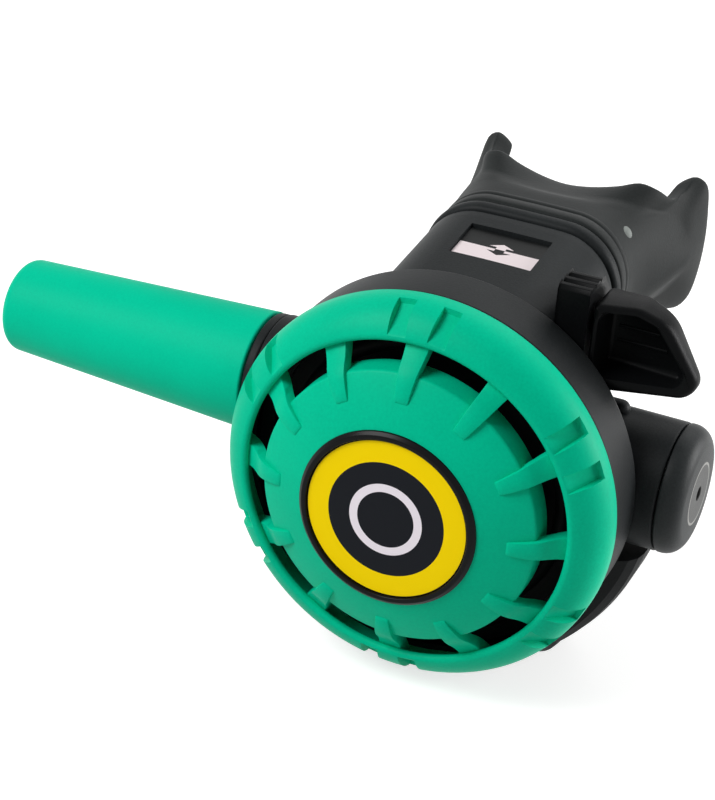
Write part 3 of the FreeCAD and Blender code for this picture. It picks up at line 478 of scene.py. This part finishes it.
rib_in_r, rib_length, rib_steps = 25.0, 13.6, 52
rib_thin, rib_thin_r = 2.9, 25.2
rib_thick, rib_thick_r = 5.2, 35.8
rib_edge, rib_depth, rib_root = 0.28, 3.4, 1.0
rib_line = softened([Vector(p) for p in (
    (rib_in_r, dome_y(rib_in_r) + 0.3), (25.4, dome_y(25.4) - 0.3), (27.4, dome_y(27.4) - 0.8),
    (30.2, dome_y(30.2) - 1.1), (31.8, -26.2), (33.2, -24.6), (34.8, -23.2),
    (36.4, -22.4), (37.6, -21.8), (38.8, -20.8))])


def rib_top(r):
    """The y of a rib's face: it hangs from under the ring and runs out on the dome."""
    for p, q in zip(rib_line, rib_line[1:]):
        if r <= q.x:
            return p.y + (q.y - p.y) * (r - p.x) / (q.x - p.x)
    return rib_line[-1].y


def rib_half(r):
    """Half of a rib's width, which grows towards the ring."""
    return (rib_thin + (rib_thick - rib_thin) * (r - rib_thin_r) / (rib_thick_r - rib_thin_r)) / 2


def rib_rows(angle):
    """Rows across one rib, from its flat inner end to the ring."""
    rows = []
    for k in range(rib_steps + 1):
        r = rib_in_r + rib_length * k / rib_steps
        top, half = rib_top(r), rib_half(r)
        low = max(dome_y(min(r, dome_edge_r)) + rib_root, top + rib_depth)
        cross = [(-half, low), (-half, top + rib_edge),
                 (-half + rib_edge * 0.3, top + rib_edge * 0.3), (-half + rib_edge, top),
                 (half - rib_edge, top), (half - rib_edge * 0.3, top + rib_edge * 0.3),
                 (half, top + rib_edge), (half, low)]
        rows.append([at(r * math.cos(angle) - s * math.sin(angle), y,
                        r * math.sin(angle) + s * math.cos(angle)) for s, y in cross])
    return rows


for k in range(12):
    angle = math.radians(30 * k)
    rib = piece("cover_rib_%02d" % (k + 1), None, "cover_green", *skin(rib_rows(angle)),
                satin_polyurethane)
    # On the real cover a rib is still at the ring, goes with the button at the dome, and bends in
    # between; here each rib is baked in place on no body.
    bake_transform(rib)

# Bezel: a black moulded ring, set into the dome, that stands a little proud of it.
# Polished mould, no grain: a deep black with small sharp highlights.
gloss_black = moulded("polished_black_abs", "#040506", "#08090A", 0.28, 0.8, 0.01, gloss=0.10)
bezel_line = rounded([(-30.4, 19.6), (-31.4, 19.6, 0.4), (-32.1, 18.8, 0.6), (-32.1, 17.95, 0.3),
                      (-31.4, 17.7), (-30.4, 17.7)])
badge_bezel = piece("badge_bezel_ring", "purge_button", "bezel_black",
                    *skin(turned_y(bezel_line), caps=False), gloss_black)
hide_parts("badge_bezel")


def printed_rings(tree, print_mm, bands):
    """Flat rings of colour round a print's middle; each band is its inner radius and colour."""
    print_reach = 20.0
    reach = add(tree, "ShaderNodeVectorMath", {0: print_mm}, operation="LENGTH")
    share = add(tree, "ShaderNodeMapRange", {"Value": reach.outputs["Value"],
                                             "From Max": print_reach})
    rings = add(tree, "ShaderNodeValToRGB", {"Fac": share.outputs["Result"]})
    ramp = rings.color_ramp
    ramp.interpolation = "CONSTANT"
    ramp.elements[0].color = bands[0][1]
    ramp.elements[1].position = bands[1][0] / print_reach
    ramp.elements[1].color = bands[1][1]
    for inner_r, colour in bands[2:]:
        ramp.elements.new(inner_r / print_reach).color = colour
    return rings.outputs["Color"]


# Badge: a printed plastic disc, yellow outside and near black inside, with one plain ring.
# Screen-printed ink under a clear lacquer: flat even colour with a faint orange peel.
badge_print, tree, shader, place = start("lacquered_print")
badge_mm = mm_from(tree, place, at(0, 0, 0), (1.0, 0.0, 1.0))
badge_bands = [(inner_r, linear(colour)) for inner_r, colour in (
    (0.0, "#1A1C21"), (6.2, "#F2EAF2"), (8.0, "#1A1C21"), (12.8, "#FFDC00"), (17.5, "#0C0D0E"))]
tree.links.new(printed_rings(tree, badge_mm, badge_bands), shader.inputs["Base Color"])
peel = add(tree, "ShaderNodeTexNoise", {"Vector": place, "Scale": 1000 / 1.2, "Detail": 2.0})
bump = add(tree, "ShaderNodeBump", {"Height": peel.outputs["Fac"], "Strength": 0.2,
                                    "Distance": 0.00002})
tree.links.new(bump.outputs["Normal"], shader.inputs["Normal"])
shader.inputs["Roughness"].default_value = 0.35
shader.inputs["Specular IOR Level"].default_value = 0.05
disc_line = [(-31.1, 17.8), (-31.45, 17.65)] + [(-31.45 - 0.25 * (1 - (r / 17.5) ** 2), r)
                                               for r in (15, 12, 9, 6, 3, 0.05)]
badge_disc = piece("badge_disc_face", "purge_button", "badge_yellow",
                   *skin(turned_y([Vector(p) for p in disc_line]), caps=False), badge_print)
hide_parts("badge_disc")


# ---- Inlet side: collar, hose sleeve and hose end ------------------------------
# A black jam ring closes the left boss. The green sleeve, moulded in soft elastomer, slips
# over the swivel nut and the crimped hose end.

collar_line = rounded([(-50.1, 9.0), (-50.1, 13.9, 0.6), (-47.85, 13.9, 0.6), (-47.85, 9.0)])
inlet_collar = piece("inlet_collar_ring", "regulator_case", "collar_black",
                     *skin(turned_x(collar_line), caps=False), grained_nylon)
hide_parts("inlet_collar")

sleeve_right, sleeve_length = -50.45, 65.2
sleeve_left = sleeve_right - sleeve_length
hose_bore_r, ferrule_bore_r, nut_bore_r = 6.3, 8.7, 11.6
hose_bore_end, nut_bore_end = sleeve_left + 22.0, sleeve_right - 16.0
sleeve_line = rounded([(sleeve_right, nut_bore_r), (sleeve_right, 14.0, 0.6), (sleeve_left, 11.0, 2.6),
                       (sleeve_left, hose_bore_r, 0.8), (hose_bore_end, hose_bore_r),
                       (hose_bore_end, ferrule_bore_r), (nut_bore_end, ferrule_bore_r),
                       (nut_bore_end, nut_bore_r), (sleeve_right, nut_bore_r)], turn=7.0)
# Thermoplastic elastomer: the ring's green, a touch lighter and duller, and slightly dragging.
soft_elastomer = moulded("soft_elastomer", "#00BE95", "#00C99E", 0.48, 0.5, 0.05, gloss=0.04)
hose_sleeve = piece("hose_sleeve", "regulator_case", "sleeve_green",
                    *skin(turned_x(sleeve_line), caps=False), soft_elastomer)
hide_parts("hose_protector")


# ---- Right side: end cap --------------------------------------------------------
# The cap closes the valve's right end. It is moulded in the same nylon with a wide soft
# edge, and has a small hole for the key that sets the valve, drawn round here.

# The same nylon, with a fine pale ring and a rubbed disc printed round the key's hole.
cap_print = moulded("pad_printed_nylon", "#1E2122", "#272A2B", 0.44, 0.45, 0.06, gloss=0.12)
tree = cap_print.node_tree
shader = tree.nodes["Principled BSDF"]
nylon = shader.inputs["Base Color"].links[0].from_socket
place = next(n for n in tree.nodes if n.bl_idname == "ShaderNodeTexCoord").outputs["Object"]
rubbed, full, none = 0.18, 1.0, 0.0
cap_mm = mm_from(tree, place, at(0, valve_y, 0), (0.0, 1.0, 1.0))
cap_bands = [(inner_r, (share, share, share, 1.0))
             for inner_r, share in ((0.0, rubbed), (6.4, full), (6.9, none))]
printed = printed_rings(tree, cap_mm, cap_bands)
print_x = 51.6
part = add(tree, "ShaderNodeSeparateXYZ", {"Vector": place})
end_face = add(tree, "ShaderNodeMath", {0: part.outputs["X"], 1: at(print_x, 0, 0).x},
               operation="GREATER_THAN")
share = add(tree, "ShaderNodeMath", {0: printed, 1: end_face.outputs["Value"]}, operation="MULTIPLY")
worn = add(tree, "ShaderNodeMix", {"Factor": share.outputs["Value"], "A": nylon,
                                   "B": linear("#8C8B88")}, data_type="RGBA")
tree.links.new(worn.outputs["Result"], shader.inputs["Base Color"])
cap_line = rounded([(46.8, 10.0), (46.8, boss_r, 0.4), (51.7, boss_r, 4.2), (52.1, 7.0, 6.0),
                    (52.1, 1.55, 0.2), (48.5, 1.5), (48.5, 0.05)])
end_cap = piece("end_cap_skin", "regulator_case", "case_black",
                *skin(turned_x(cap_line), caps=False), cap_print)
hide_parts("end_cap")


# ---- Mouthpiece ------------------------------------------------------------------
# Black silicone, moulded in one: a collar over the tube's neck, a skin that flares into
# the lip shield with a swept wing at each side, and two tabs to bite. A strap holds it on.

# Moulded silicone: very dull and soft, lighter than the nylon where the light grazes it.
moulded_silicone = moulded("moulded_silicone", "#171A1A", "#212424", 0.56, 0.5, 0.07, gloss=0.08)
shader = moulded_silicone.node_tree.nodes["Principled BSDF"]
shader.inputs["Sheen Weight"].default_value = 0.07
shader.inputs["Sheen Roughness"].default_value = 0.5

mouth_z = 28.3
mouth_lean, lean_from_y, lean_run = 0.8, 50.0, 20.0
collar_y = 41.0
wing_reach = 26.0
hole_half, hole_rise, hole_y = 15.5, 9.0, 60.0
# Keys for the right half of the shield's rim, and of the shoulder before it, as (x, y, z).
rim_keys = [(0, 58.0, 43.2), (6, 58.1, 43.8), (12, 58.3, 45.2), (17.0, 58.8, 46.7), (20.8, 60.6, 45.2),
            (23.2, 65.0, 42.2), (23.8, 71.0, 42.4), (24.9, 76.0, 44.2), (27.6, 77.4, 42.4),
            (28.6, 77.2, 37.0), (29.2, 76.2, 30.0), (28.9, 75.6, 22.5), (27.8, 75.0, 16.0),
            (25.6, 74.4, 12.4), (22.8, 72.0, 11.8), (20.2, 66.0, 12.2), (16.5, 61.5, 9.6),
            (9.0, 59.4, 8.8), (0, 58.8, 10.8)]
shoulder_keys = [(0, 51, 43.8), (6, 51, 44.0), (11, 51.5, 44.3), (15.5, 53, 44.0), (19.4, 56, 42.2),
                 (21.4, 60, 40.6), (22.8, 63.5, 39.2), (24.2, 65.5, 37.2), (25.6, 66.5, 34.8),
                 (27.2, 66.5, 32.0), (28.2, 66.0, 29.0), (27.8, 65.0, 26.2), (26.2, 64, 23.6),
                 (23.8, 62.5, 20.2), (20.6, 61, 17.6), (17.2, 59, 15.8), (13.4, 57, 14.4),
                 (7.0, 54, 13.2), (0, 52, 12.8)]


def all_round(keys, count):
    """A smooth closed line through keys for the right half, mirrored to the left."""
    ring = [Vector(k) for k in keys]
    ring += [Vector((-k[0], k[1], k[2])) for k in keys[-2:0:-1]]
    total = len(ring)
    points = []
    for i in range(count):
        place_on = i * total / count
        k, t = int(place_on), place_on - int(place_on)
        a, b, c, d = (ring[(k + j) % total] for j in (-1, 0, 1, 2))
        points.append(0.5 * (2 * b + (c - a) * t + (2 * a - 5 * b + 4 * c - d) * t ** 2
                             + (3 * b - a - 3 * c + d) * t ** 3))
    return points


rim = all_round(rim_keys, tube_columns)
shoulder = all_round(shoulder_keys, tube_columns)
collar_end = [Vector((p.x, collar_y, p.y)) for p in tube_section(collar_y, 0.2)]
mouth_columns = []
for i in range(tube_columns):
    s, r, e = collar_end[i], shoulder[i], rim[i]
    inward = Vector((-e.x, 0, mouth_z - e.z)).normalized()
    side_share = min(1.0, abs(e.x) / wing_reach) ** 3
    turn = math.atan2(s.z - mouth_z, s.x)
    hole = Vector((hole_half * math.cos(turn), hole_y, mouth_z + hole_rise * math.sin(turn)))
    inner = e + inward * (3.2 + 2.4 * side_share) + Vector((0, 0.2, 0))
    base = Vector((r.x * 0.86, 62.0 + 1.5 * side_share, mouth_z + (r.z - mouth_z) * 0.80))
    lip = e + (e - r).normalized() * 1.2
    throat = [Vector((hole.x * grow, y, mouth_z + (hole.z - mouth_z) * grow))
              for y, grow in ((48.0, 1.1), (40.0, 1.15))]
    mouth_columns.append(softened([
        s, s + Vector((s.x * 0.01, 5, (s.z - mouth_z) * 0.01)), r.lerp(s, 0.25), r, r.lerp(e, 0.25),
        e.lerp(r, 0.12), lip + inward * 0.6, lip + inward * (2.4 + 2.2 * side_share), inner, base,
        base.lerp(hole, 0.3), hole + (base - hole).normalized() * 1.2, hole + Vector((0, -2, 0))]
        + throat))


def leaned(p):
    """The soft lip shield sits a little to the right of the tube's middle."""
    return at(p.x + mouth_lean * min(1.0, max(0.0, (p.y - lean_from_y) / lean_run)), p.y, p.z)


mouth_rows = [[leaned(column[k]) for column in mouth_columns] for k in range(len(mouth_columns[0]))]
mouth_skin = piece("mouthpiece_skin", "regulator_case", "mouth_rubber", *skin(mouth_rows, caps=False),
                   moulded_silicone, crease=60)
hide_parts("mouthpiece")
# Rows as (y, distance out from the tube's wall), for the collar and then the strap.
collar_steps = [(36.5, -1.6), (36.5, -0.3), (36.8, 0.1), (37.4, 0.2), (39.3, 0.2), (39.5, 0.0),
                (39.6, 0.0), (39.8, 0.2), (collar_y, 0.2), (42.0, -0.6)]
piece("mouthpiece_collar", "regulator_case", "mouth_rubber",
      *skin([tube_row(y, g) for y, g in collar_steps], caps=False), moulded_silicone, crease=50)
strap_steps = [(32.6, -2.2), (32.6, -0.4), (32.9, 0.15), (33.5, 0.45), (34.4, 0.55), (35.2, 0.45),
               (35.8, 0.15), (36.1, -0.4), (36.1, -2.2)]
mouth_strap = piece("mouthpiece_strap", "regulator_case", "strap_black",
                    *skin([tube_row(y, g) for y, g in strap_steps], caps=False), grained_nylon,
                    crease=50)
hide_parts("mouthpiece_clamp")

# A small pale grey ball on the lip shield's top right is a painted highlight, where the light glints
# on the silicone.
glint_silicone = moulded("painted_glint_grey", "#7A7F7C", "#868B88", 0.55, 0.5, 0.04, gloss=0.12)
glint_x, glint_y, glint_z, glint_ball = 18.31, 46.59, 38.85, 2.2
glint_rows = [[at(glint_x + glint_ball * math.sin(a) * math.cos(t),
                glint_y + glint_ball * math.sin(a) * math.sin(t), glint_z + glint_ball * math.cos(a))
             for t in (2 * math.pi * k / 48 for k in range(48))]
            for a in (math.radians(3 + 5.4 * k) for k in range(20))]
piece("mouthpiece_glint_spot", "regulator_case", "mouth_rubber", *skin(glint_rows), glint_silicone)


def inset_loops(outline, steps, place_point):
    """Rows from one closed outline, each set in by a distance and placed by a function."""
    total = len(outline)
    rows = []
    for inset, depth in steps:
        row = []
        for i, p in enumerate(outline):
            along = (outline[(i + 1) % total] - outline[i - 1]).normalized()
            row.append(place_point(p + Vector((-along.y, along.x)) * -inset, depth))
        rows.append(row)
    return rows


def joined(*parts):
    """The points and faces of several skins as one."""
    points, faces = [], []
    for more_points, more_faces in parts:
        faces += [tuple(len(points) + i for i in face) for face in more_faces]
        points += more_points
    return points, faces


tab_line = rounded([(12.5, 58.5, 1), (23.0, 58.5, 1), (23.0, 79.3, 3.0), (12.5, 79.3, 4.0)],
                   closed=True)
tab_steps = [(1.4, -2.1), (0.4, -1.9), (0, -1.1), (0, 1.1), (0.4, 1.9), (1.4, 2.1)]
lug_line = rounded([(20.2, -5.0, 1.2), (23.1, -5.0, 1.2), (23.1, 5.0, 1.2), (20.2, 5.0, 1.2)],
                   closed=True)
lug_steps = [(1.2, 66.0), (0.3, 66.4), (0, 67.4), (0, 76.0), (0.3, 77.0), (1.2, 77.4)]
for side, side_name in ((-1, "left"), (1, "right")):
    tab_rows = inset_loops(tab_line[::-1], tab_steps, lambda p, d: at(side * p.x, p.y, mouth_z + d))
    lug_rows = inset_loops(lug_line[::-1], lug_steps, lambda p, d: at(side * p.x, d, mouth_z + p.y))
    piece("bite_tab_" + side_name, "regulator_case", "mouth_rubber",
          *joined(skin(tab_rows), skin(lug_rows)), moulded_silicone)


# ---- Flow lever ------------------------------------------------------------------
# A lever at the tube's corner turns a vane in the air stream. The ridged block beside it
# belongs to the case; the lever has a round root and a dished paddle for the thumb.

lever_y, lever_z = 8.4, 34.6
block_line = rounded([(0.4, 27.0), (0.4, 44.3, 0.3), (0.9, 45.2, 0.4), (2.1, 45.3, 0.4),
                      (2.9, 44.2, 0.2), (3.3, 44.3, 0.2), (3.8, 45.3, 0.4), (5.0, 45.4, 0.4),
                      (5.8, 44.3, 0.2), (6.2, 44.4, 0.2), (6.7, 45.4, 0.4), (8.0, 45.4, 0.5),
                      (9.2, 44.0, 1.0), (15.5, 38.0, 3.0), (16.0, 27.0)], closed=True, turn=15)
block_steps = [(0.5, 20.0), (0.1, 20.15), (0, 20.5), (0, 26.4), (0.15, 26.85), (0.6, 27.05)]
block_rows = inset_loops(block_line[::-1], block_steps, lambda p, d: at(d, p.x, p.y))
# The lever and its block are a darker, slightly glossier copy of the case's nylon; the darker colour
# is painted shade.
shade_darkened_nylon = moulded("shade_darkened_lever_nylon", "#08090A", "#0D0E0F", 0.36, 0.45, 0.05, gloss=0.045)
piece("index_block", "regulator_case", "case_black", *skin(block_rows), shade_darkened_nylon, crease=40)

root_x = 27.4
paddle_slant, paddle_lead = 0.33, 0.6
dish_floor = 9.9
hub_line = rounded([(root_x, 1.9), (root_x, 6.6, 0.4), (28.4, 6.6, 0.5), (28.4, 0.05)])
hub_rows = turned_x(hub_line, 96, lever_y, lever_z)
paddle_line = evenly(rounded([(27.5, 42.4, 1.0), (36.4, 42.4, 4.5), (42.4, 39.6, 9.0),
                              (49.3, 27.6, 4.0), (48.6, 23.4, 3.6), (27.5, 23.4, 1.5)],
                             closed=True), 144)
dish_line = evenly(rounded([(28.7, 40.8, 3.0), (35.4, 41.6, 3.0), (39.8, 39.4, 6.0),
                            (46.6, 28.9, 2.6), (45.6, 25.9, 1.8), (28.7, 26.5, 1.2)],
                           closed=True), 144)


def flat_place(p, y):
    """A point of the lever's outline at a fixed depth."""
    return at(p.x, y, p.y)


def front_place(p, d):
    """A point of the outline on the paddle's slanted front, or behind it by d."""
    return at(p.x, paddle_lead + (p.x - root_x) * paddle_slant + d, p.y)


paddle_rows = inset_loops(paddle_line, [(2.0, 12.0), (0.9, 11.95), (0.25, 11.6), (0, 11.0)],
                          flat_place)
paddle_rows += inset_loops(paddle_line, [(0, 1.6), (0.14, 0.9), (0.5, 0.3), (1.1, 0.05), (1.3, 0.0)],
                           front_place)
paddle_rows += inset_loops(dish_line, [(-0.5, 0.0), (-0.1, 0.15), (0.1, 0.7)], front_place)
paddle_rows += inset_loops(dish_line, [(0.6, 9.0), (0.9, 9.6), (1.5, dish_floor)], flat_place)
# Three low bars across the dish's floor give the thumb its grip.
bar_rise, bar_half, bar_start = 0.3, 0.4, 31.0
bars = [skin([[at(x, dish_floor - bar_rise * math.sin(t), bar_z + bar_half * math.cos(t))
               for t in (2 * math.pi * k / 16 for k in range(16))]
              for x in (bar_start, bar_start + 0.3, bar_end - 0.3, bar_end)])
        for bar_z, bar_end in ((38.4, 37.4), (35.2, 39.6), (32.0, 41.6))]
# The lever's darker nylon is painted shade.
flow_lever = piece("flow_lever_skin", "venturi_unit", "case_black",
                   *joined(skin(hub_rows, caps=False), skin(paddle_rows), *bars), shade_darkened_nylon,
                   crease=40)
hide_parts("venturi_lever")


# ---- Exhaust tee ----------------------------------------------------------------
# A soft tee under the case leads the bubbles away from the face at both sides. It is moulded
# in black elastomer and stretched over a flange round the exhaust valve.

# Moulded thermoplastic elastomer: nearly black, with a low broad sheen.
black_elastomer = moulded("black_elastomer", "#0B0D0E", "#121415", 0.50, 0.5, 0.06, gloss=0.06)
finish(black_elastomer, "exhaust_tee")


# ---- Working parts ---------------------------------------------------------------
# Behind the cover: the diaphragm with its plate, the slip ring, the lever and the valve in its
# barrel. Rubber parts are moulded, metal ones turned, and the barrel's pieces screw together.

# Moulded silicone and nitrile rubber: black and dull, with a trace of mould bloom.
seal_rubber = moulded("seal_rubber", "#0B0C0C", "#121414", 0.60, 0.4, 0.02, gloss=0.10)
finish(seal_rubber, "diaphragm", "barrel_o_rings", "orifice_o_ring", "adjuster_o_ring",
       "hose_stem_o_ring", "venturi_o_ring", "poppet_seat", "exhaust_valve")
# Moulded acetal: slick, faintly waxy, with long soft highlights.
black_acetal = moulded("black_acetal", "#101112", "#17191A", 0.34, 0.7, 0.02, gloss=0.15)
finish(black_acetal, "cover_slip_ring", "venturi_vane", "poppet")


def turned_metal(name, colour, rough, line_mm):
    """Bright metal with fine tool lines across the valve's axis and a faint smear of handling."""
    # A wave of scale 1 repeats every 314.16 mm.
    wave_mm, smear_mm = 314.16, 6.0
    made, tree, shader, place = start(name)
    lines = add(tree, "ShaderNodeTexWave", {"Vector": place, "Scale": wave_mm / line_mm,
                                            "Distortion": 0.6, "Detail": 2.0})
    smear = add(tree, "ShaderNodeTexNoise", {"Vector": place, "Scale": 1000 / smear_mm,
                                             "Detail": 3.0})
    tint = add(tree, "ShaderNodeMix", {"Factor": smear.outputs["Fac"], "A": linear(colour[0]),
                                       "B": linear(colour[1])}, data_type="RGBA")
    tree.links.new(tint.outputs["Result"], shader.inputs["Base Color"])
    dull = add(tree, "ShaderNodeMapRange", {"Value": smear.outputs["Fac"], "To Min": rough - 0.05,
                                            "To Max": rough + 0.08})
    tree.links.new(dull.outputs["Result"], shader.inputs["Roughness"])
    bump = add(tree, "ShaderNodeBump", {"Height": lines.outputs["Fac"], "Strength": 0.25,
                                        "Distance": 0.00001})
    tree.links.new(bump.outputs["Normal"], shader.inputs["Normal"])
    shader.inputs["Metallic"].default_value = 1.0
    return made


# Nickel-plated brass, turned: warm silver with fine rings. The lines are drawn at 0.3 mm to show.
plated_brass = turned_metal("nickel_plated_brass", ("#C9C4B8", "#B8B2A4"), 0.22, 0.3)
finish(plated_brass, "valve_barrel", "barrel_nut", "orifice", "spring_adjuster",
       "hose_swivel_nut", "hose_stem")
# Stainless steel, drawn and pressed: colder, with a softer shine than the plated pieces,
# and lines at 0.4 mm.
stainless = turned_metal("drawn_stainless", ("#B9BBBD", "#A6A9AC"), 0.30, 0.4)
finish(stainless, "demand_lever", "diaphragm_plate", "poppet_spring", "hose_ferrule")


# ---- Light, floor and camera ------------------------------------------------------
# White paper under the part, a pale room round it, and three soft boxes: one high at the left
# in front, one low at the right and a weak one behind. The camera has the photograph's view.

floor_mesh = bpy.data.meshes.new("floor")
floor_half, floor_gap = 6, 0.0005
floor_z = cad_low.z - floor_gap
floor_corners = ((-1, -1), (1, -1), (1, 1), (-1, 1))
floor_mesh.from_pydata([(x * floor_half, y * floor_half, floor_z) for x, y in floor_corners], [],
                       [(0, 1, 2, 3)])
floor = bpy.data.objects.new("floor", floor_mesh)
bpy.context.scene.collection.objects.link(floor)


def looked_at(tree):
    """1 for the eye, mirrors and glass, and 0 for light that only bounces."""
    path = add(tree, "ShaderNodeLightPath")
    mirror = add(tree, "ShaderNodeMath", {0: path.outputs["Is Glossy Ray"],
                                          1: path.outputs["Is Transmission Ray"]},
                 operation="MAXIMUM")
    return add(tree, "ShaderNodeMath", {0: path.outputs["Is Camera Ray"], 1: mirror.outputs["Value"]},
               operation="MAXIMUM").outputs["Value"]


# Matt white paper, with a glow that only the eye, mirrors and glass see, so that it reads as white
# and still keeps the shadow. The glow is weaker near the object, where the lamps light the paper.
near_glow, far_glow = 0.66, 1.0
glow_from, glow_to = 0.25, 1.2
paper, tree, shader, place = start("white_paper")
shader.inputs["Base Color"].default_value = linear("#CFCFCE")
shader.inputs["Roughness"].default_value = 0.9
away = add(tree, "ShaderNodeVectorMath", {0: place, 1: at(0, 0, 0)}, operation="SUBTRACT")
far = add(tree, "ShaderNodeVectorMath", {0: away.outputs["Vector"]}, operation="LENGTH")
glow = add(tree, "ShaderNodeMapRange", {"Value": far.outputs["Value"], "From Min": glow_from,
                                        "From Max": glow_to, "To Min": near_glow,
                                        "To Max": far_glow})
dim = add(tree, "ShaderNodeMath", {0: looked_at(tree), 1: glow.outputs["Result"]},
          operation="MULTIPLY")
tree.links.new(dim.outputs["Value"], shader.inputs["Emission Strength"])
shader.inputs["Emission Color"].default_value = (1, 1, 1, 1)
floor_mesh.materials.append(paper)

world = bpy.data.worlds.new("studio")
bpy.context.scene.world = world
world.use_nodes = True
tree = world.node_tree
power = add(tree, "ShaderNodeMapRange", {"Value": looked_at(tree), "To Min": 0.20, "To Max": 1.0})
back = tree.nodes["Background"]
back.inputs["Color"].default_value = (1, 1, 1, 1)
tree.links.new(power.outputs["Result"], back.inputs["Strength"])


def lamp(name, where, target, size, watts):
    """A soft box that faces its target."""
    data = bpy.data.lights.new(name, "AREA")
    data.shape = "RECTANGLE"
    data.size, data.size_y = size
    data.energy = watts
    made = bpy.data.objects.new(name, data)
    made.location = where
    made.rotation_euler = (Vector(where) - Vector(target)).to_track_quat("Z", "Y").to_euler()
    bpy.context.scene.collection.objects.link(made)


middle = at(0, 10, 0)
lamp("key_box", middle + Vector((-0.50, -0.52, 0.70)), middle, (0.5, 0.5), 8.3)
lamp("side_box", middle + Vector((0.80, 0.50, 0.20)), middle, (0.5, 0.5), 9.0)
lamp("back_box", middle + Vector((0.15, 0.65, 0.7)), middle, (0.7, 0.5), 2.2)

azimuth, elevation, roll = math.radians(23.31), math.radians(27.71), math.radians(4.50)
out = Vector((math.sin(azimuth) * math.cos(elevation), -math.cos(azimuth) * math.cos(elevation),
              math.sin(elevation)))
right = Vector((math.cos(azimuth), math.sin(azimuth), 0.0))
up = out.cross(right)
tilted_right = right * math.cos(roll) + up * math.sin(roll)
tilted_up = up * math.cos(roll) - right * math.sin(roll)
eye = bpy.data.cameras.new("camera")
eye.lens = 94.29
eye.sensor_width = 36.0
eye.clip_start, eye.clip_end = 0.01, 20
camera = bpy.data.objects.new("camera", eye)
bpy.context.scene.collection.objects.link(camera)
eye_place = at(136.8, -368.0, 217.4)
camera.matrix_world = Matrix(((tilted_right.x, tilted_up.x, out.x, eye_place.x),
                              (tilted_right.y, tilted_up.y, out.y, eye_place.y),
                              (tilted_right.z, tilted_up.z, out.z, eye_place.z),
                              (0, 0, 0, 1)))
bpy.context.scene.camera = camera

scene = bpy.context.scene
scene.view_settings.view_transform = "Standard"
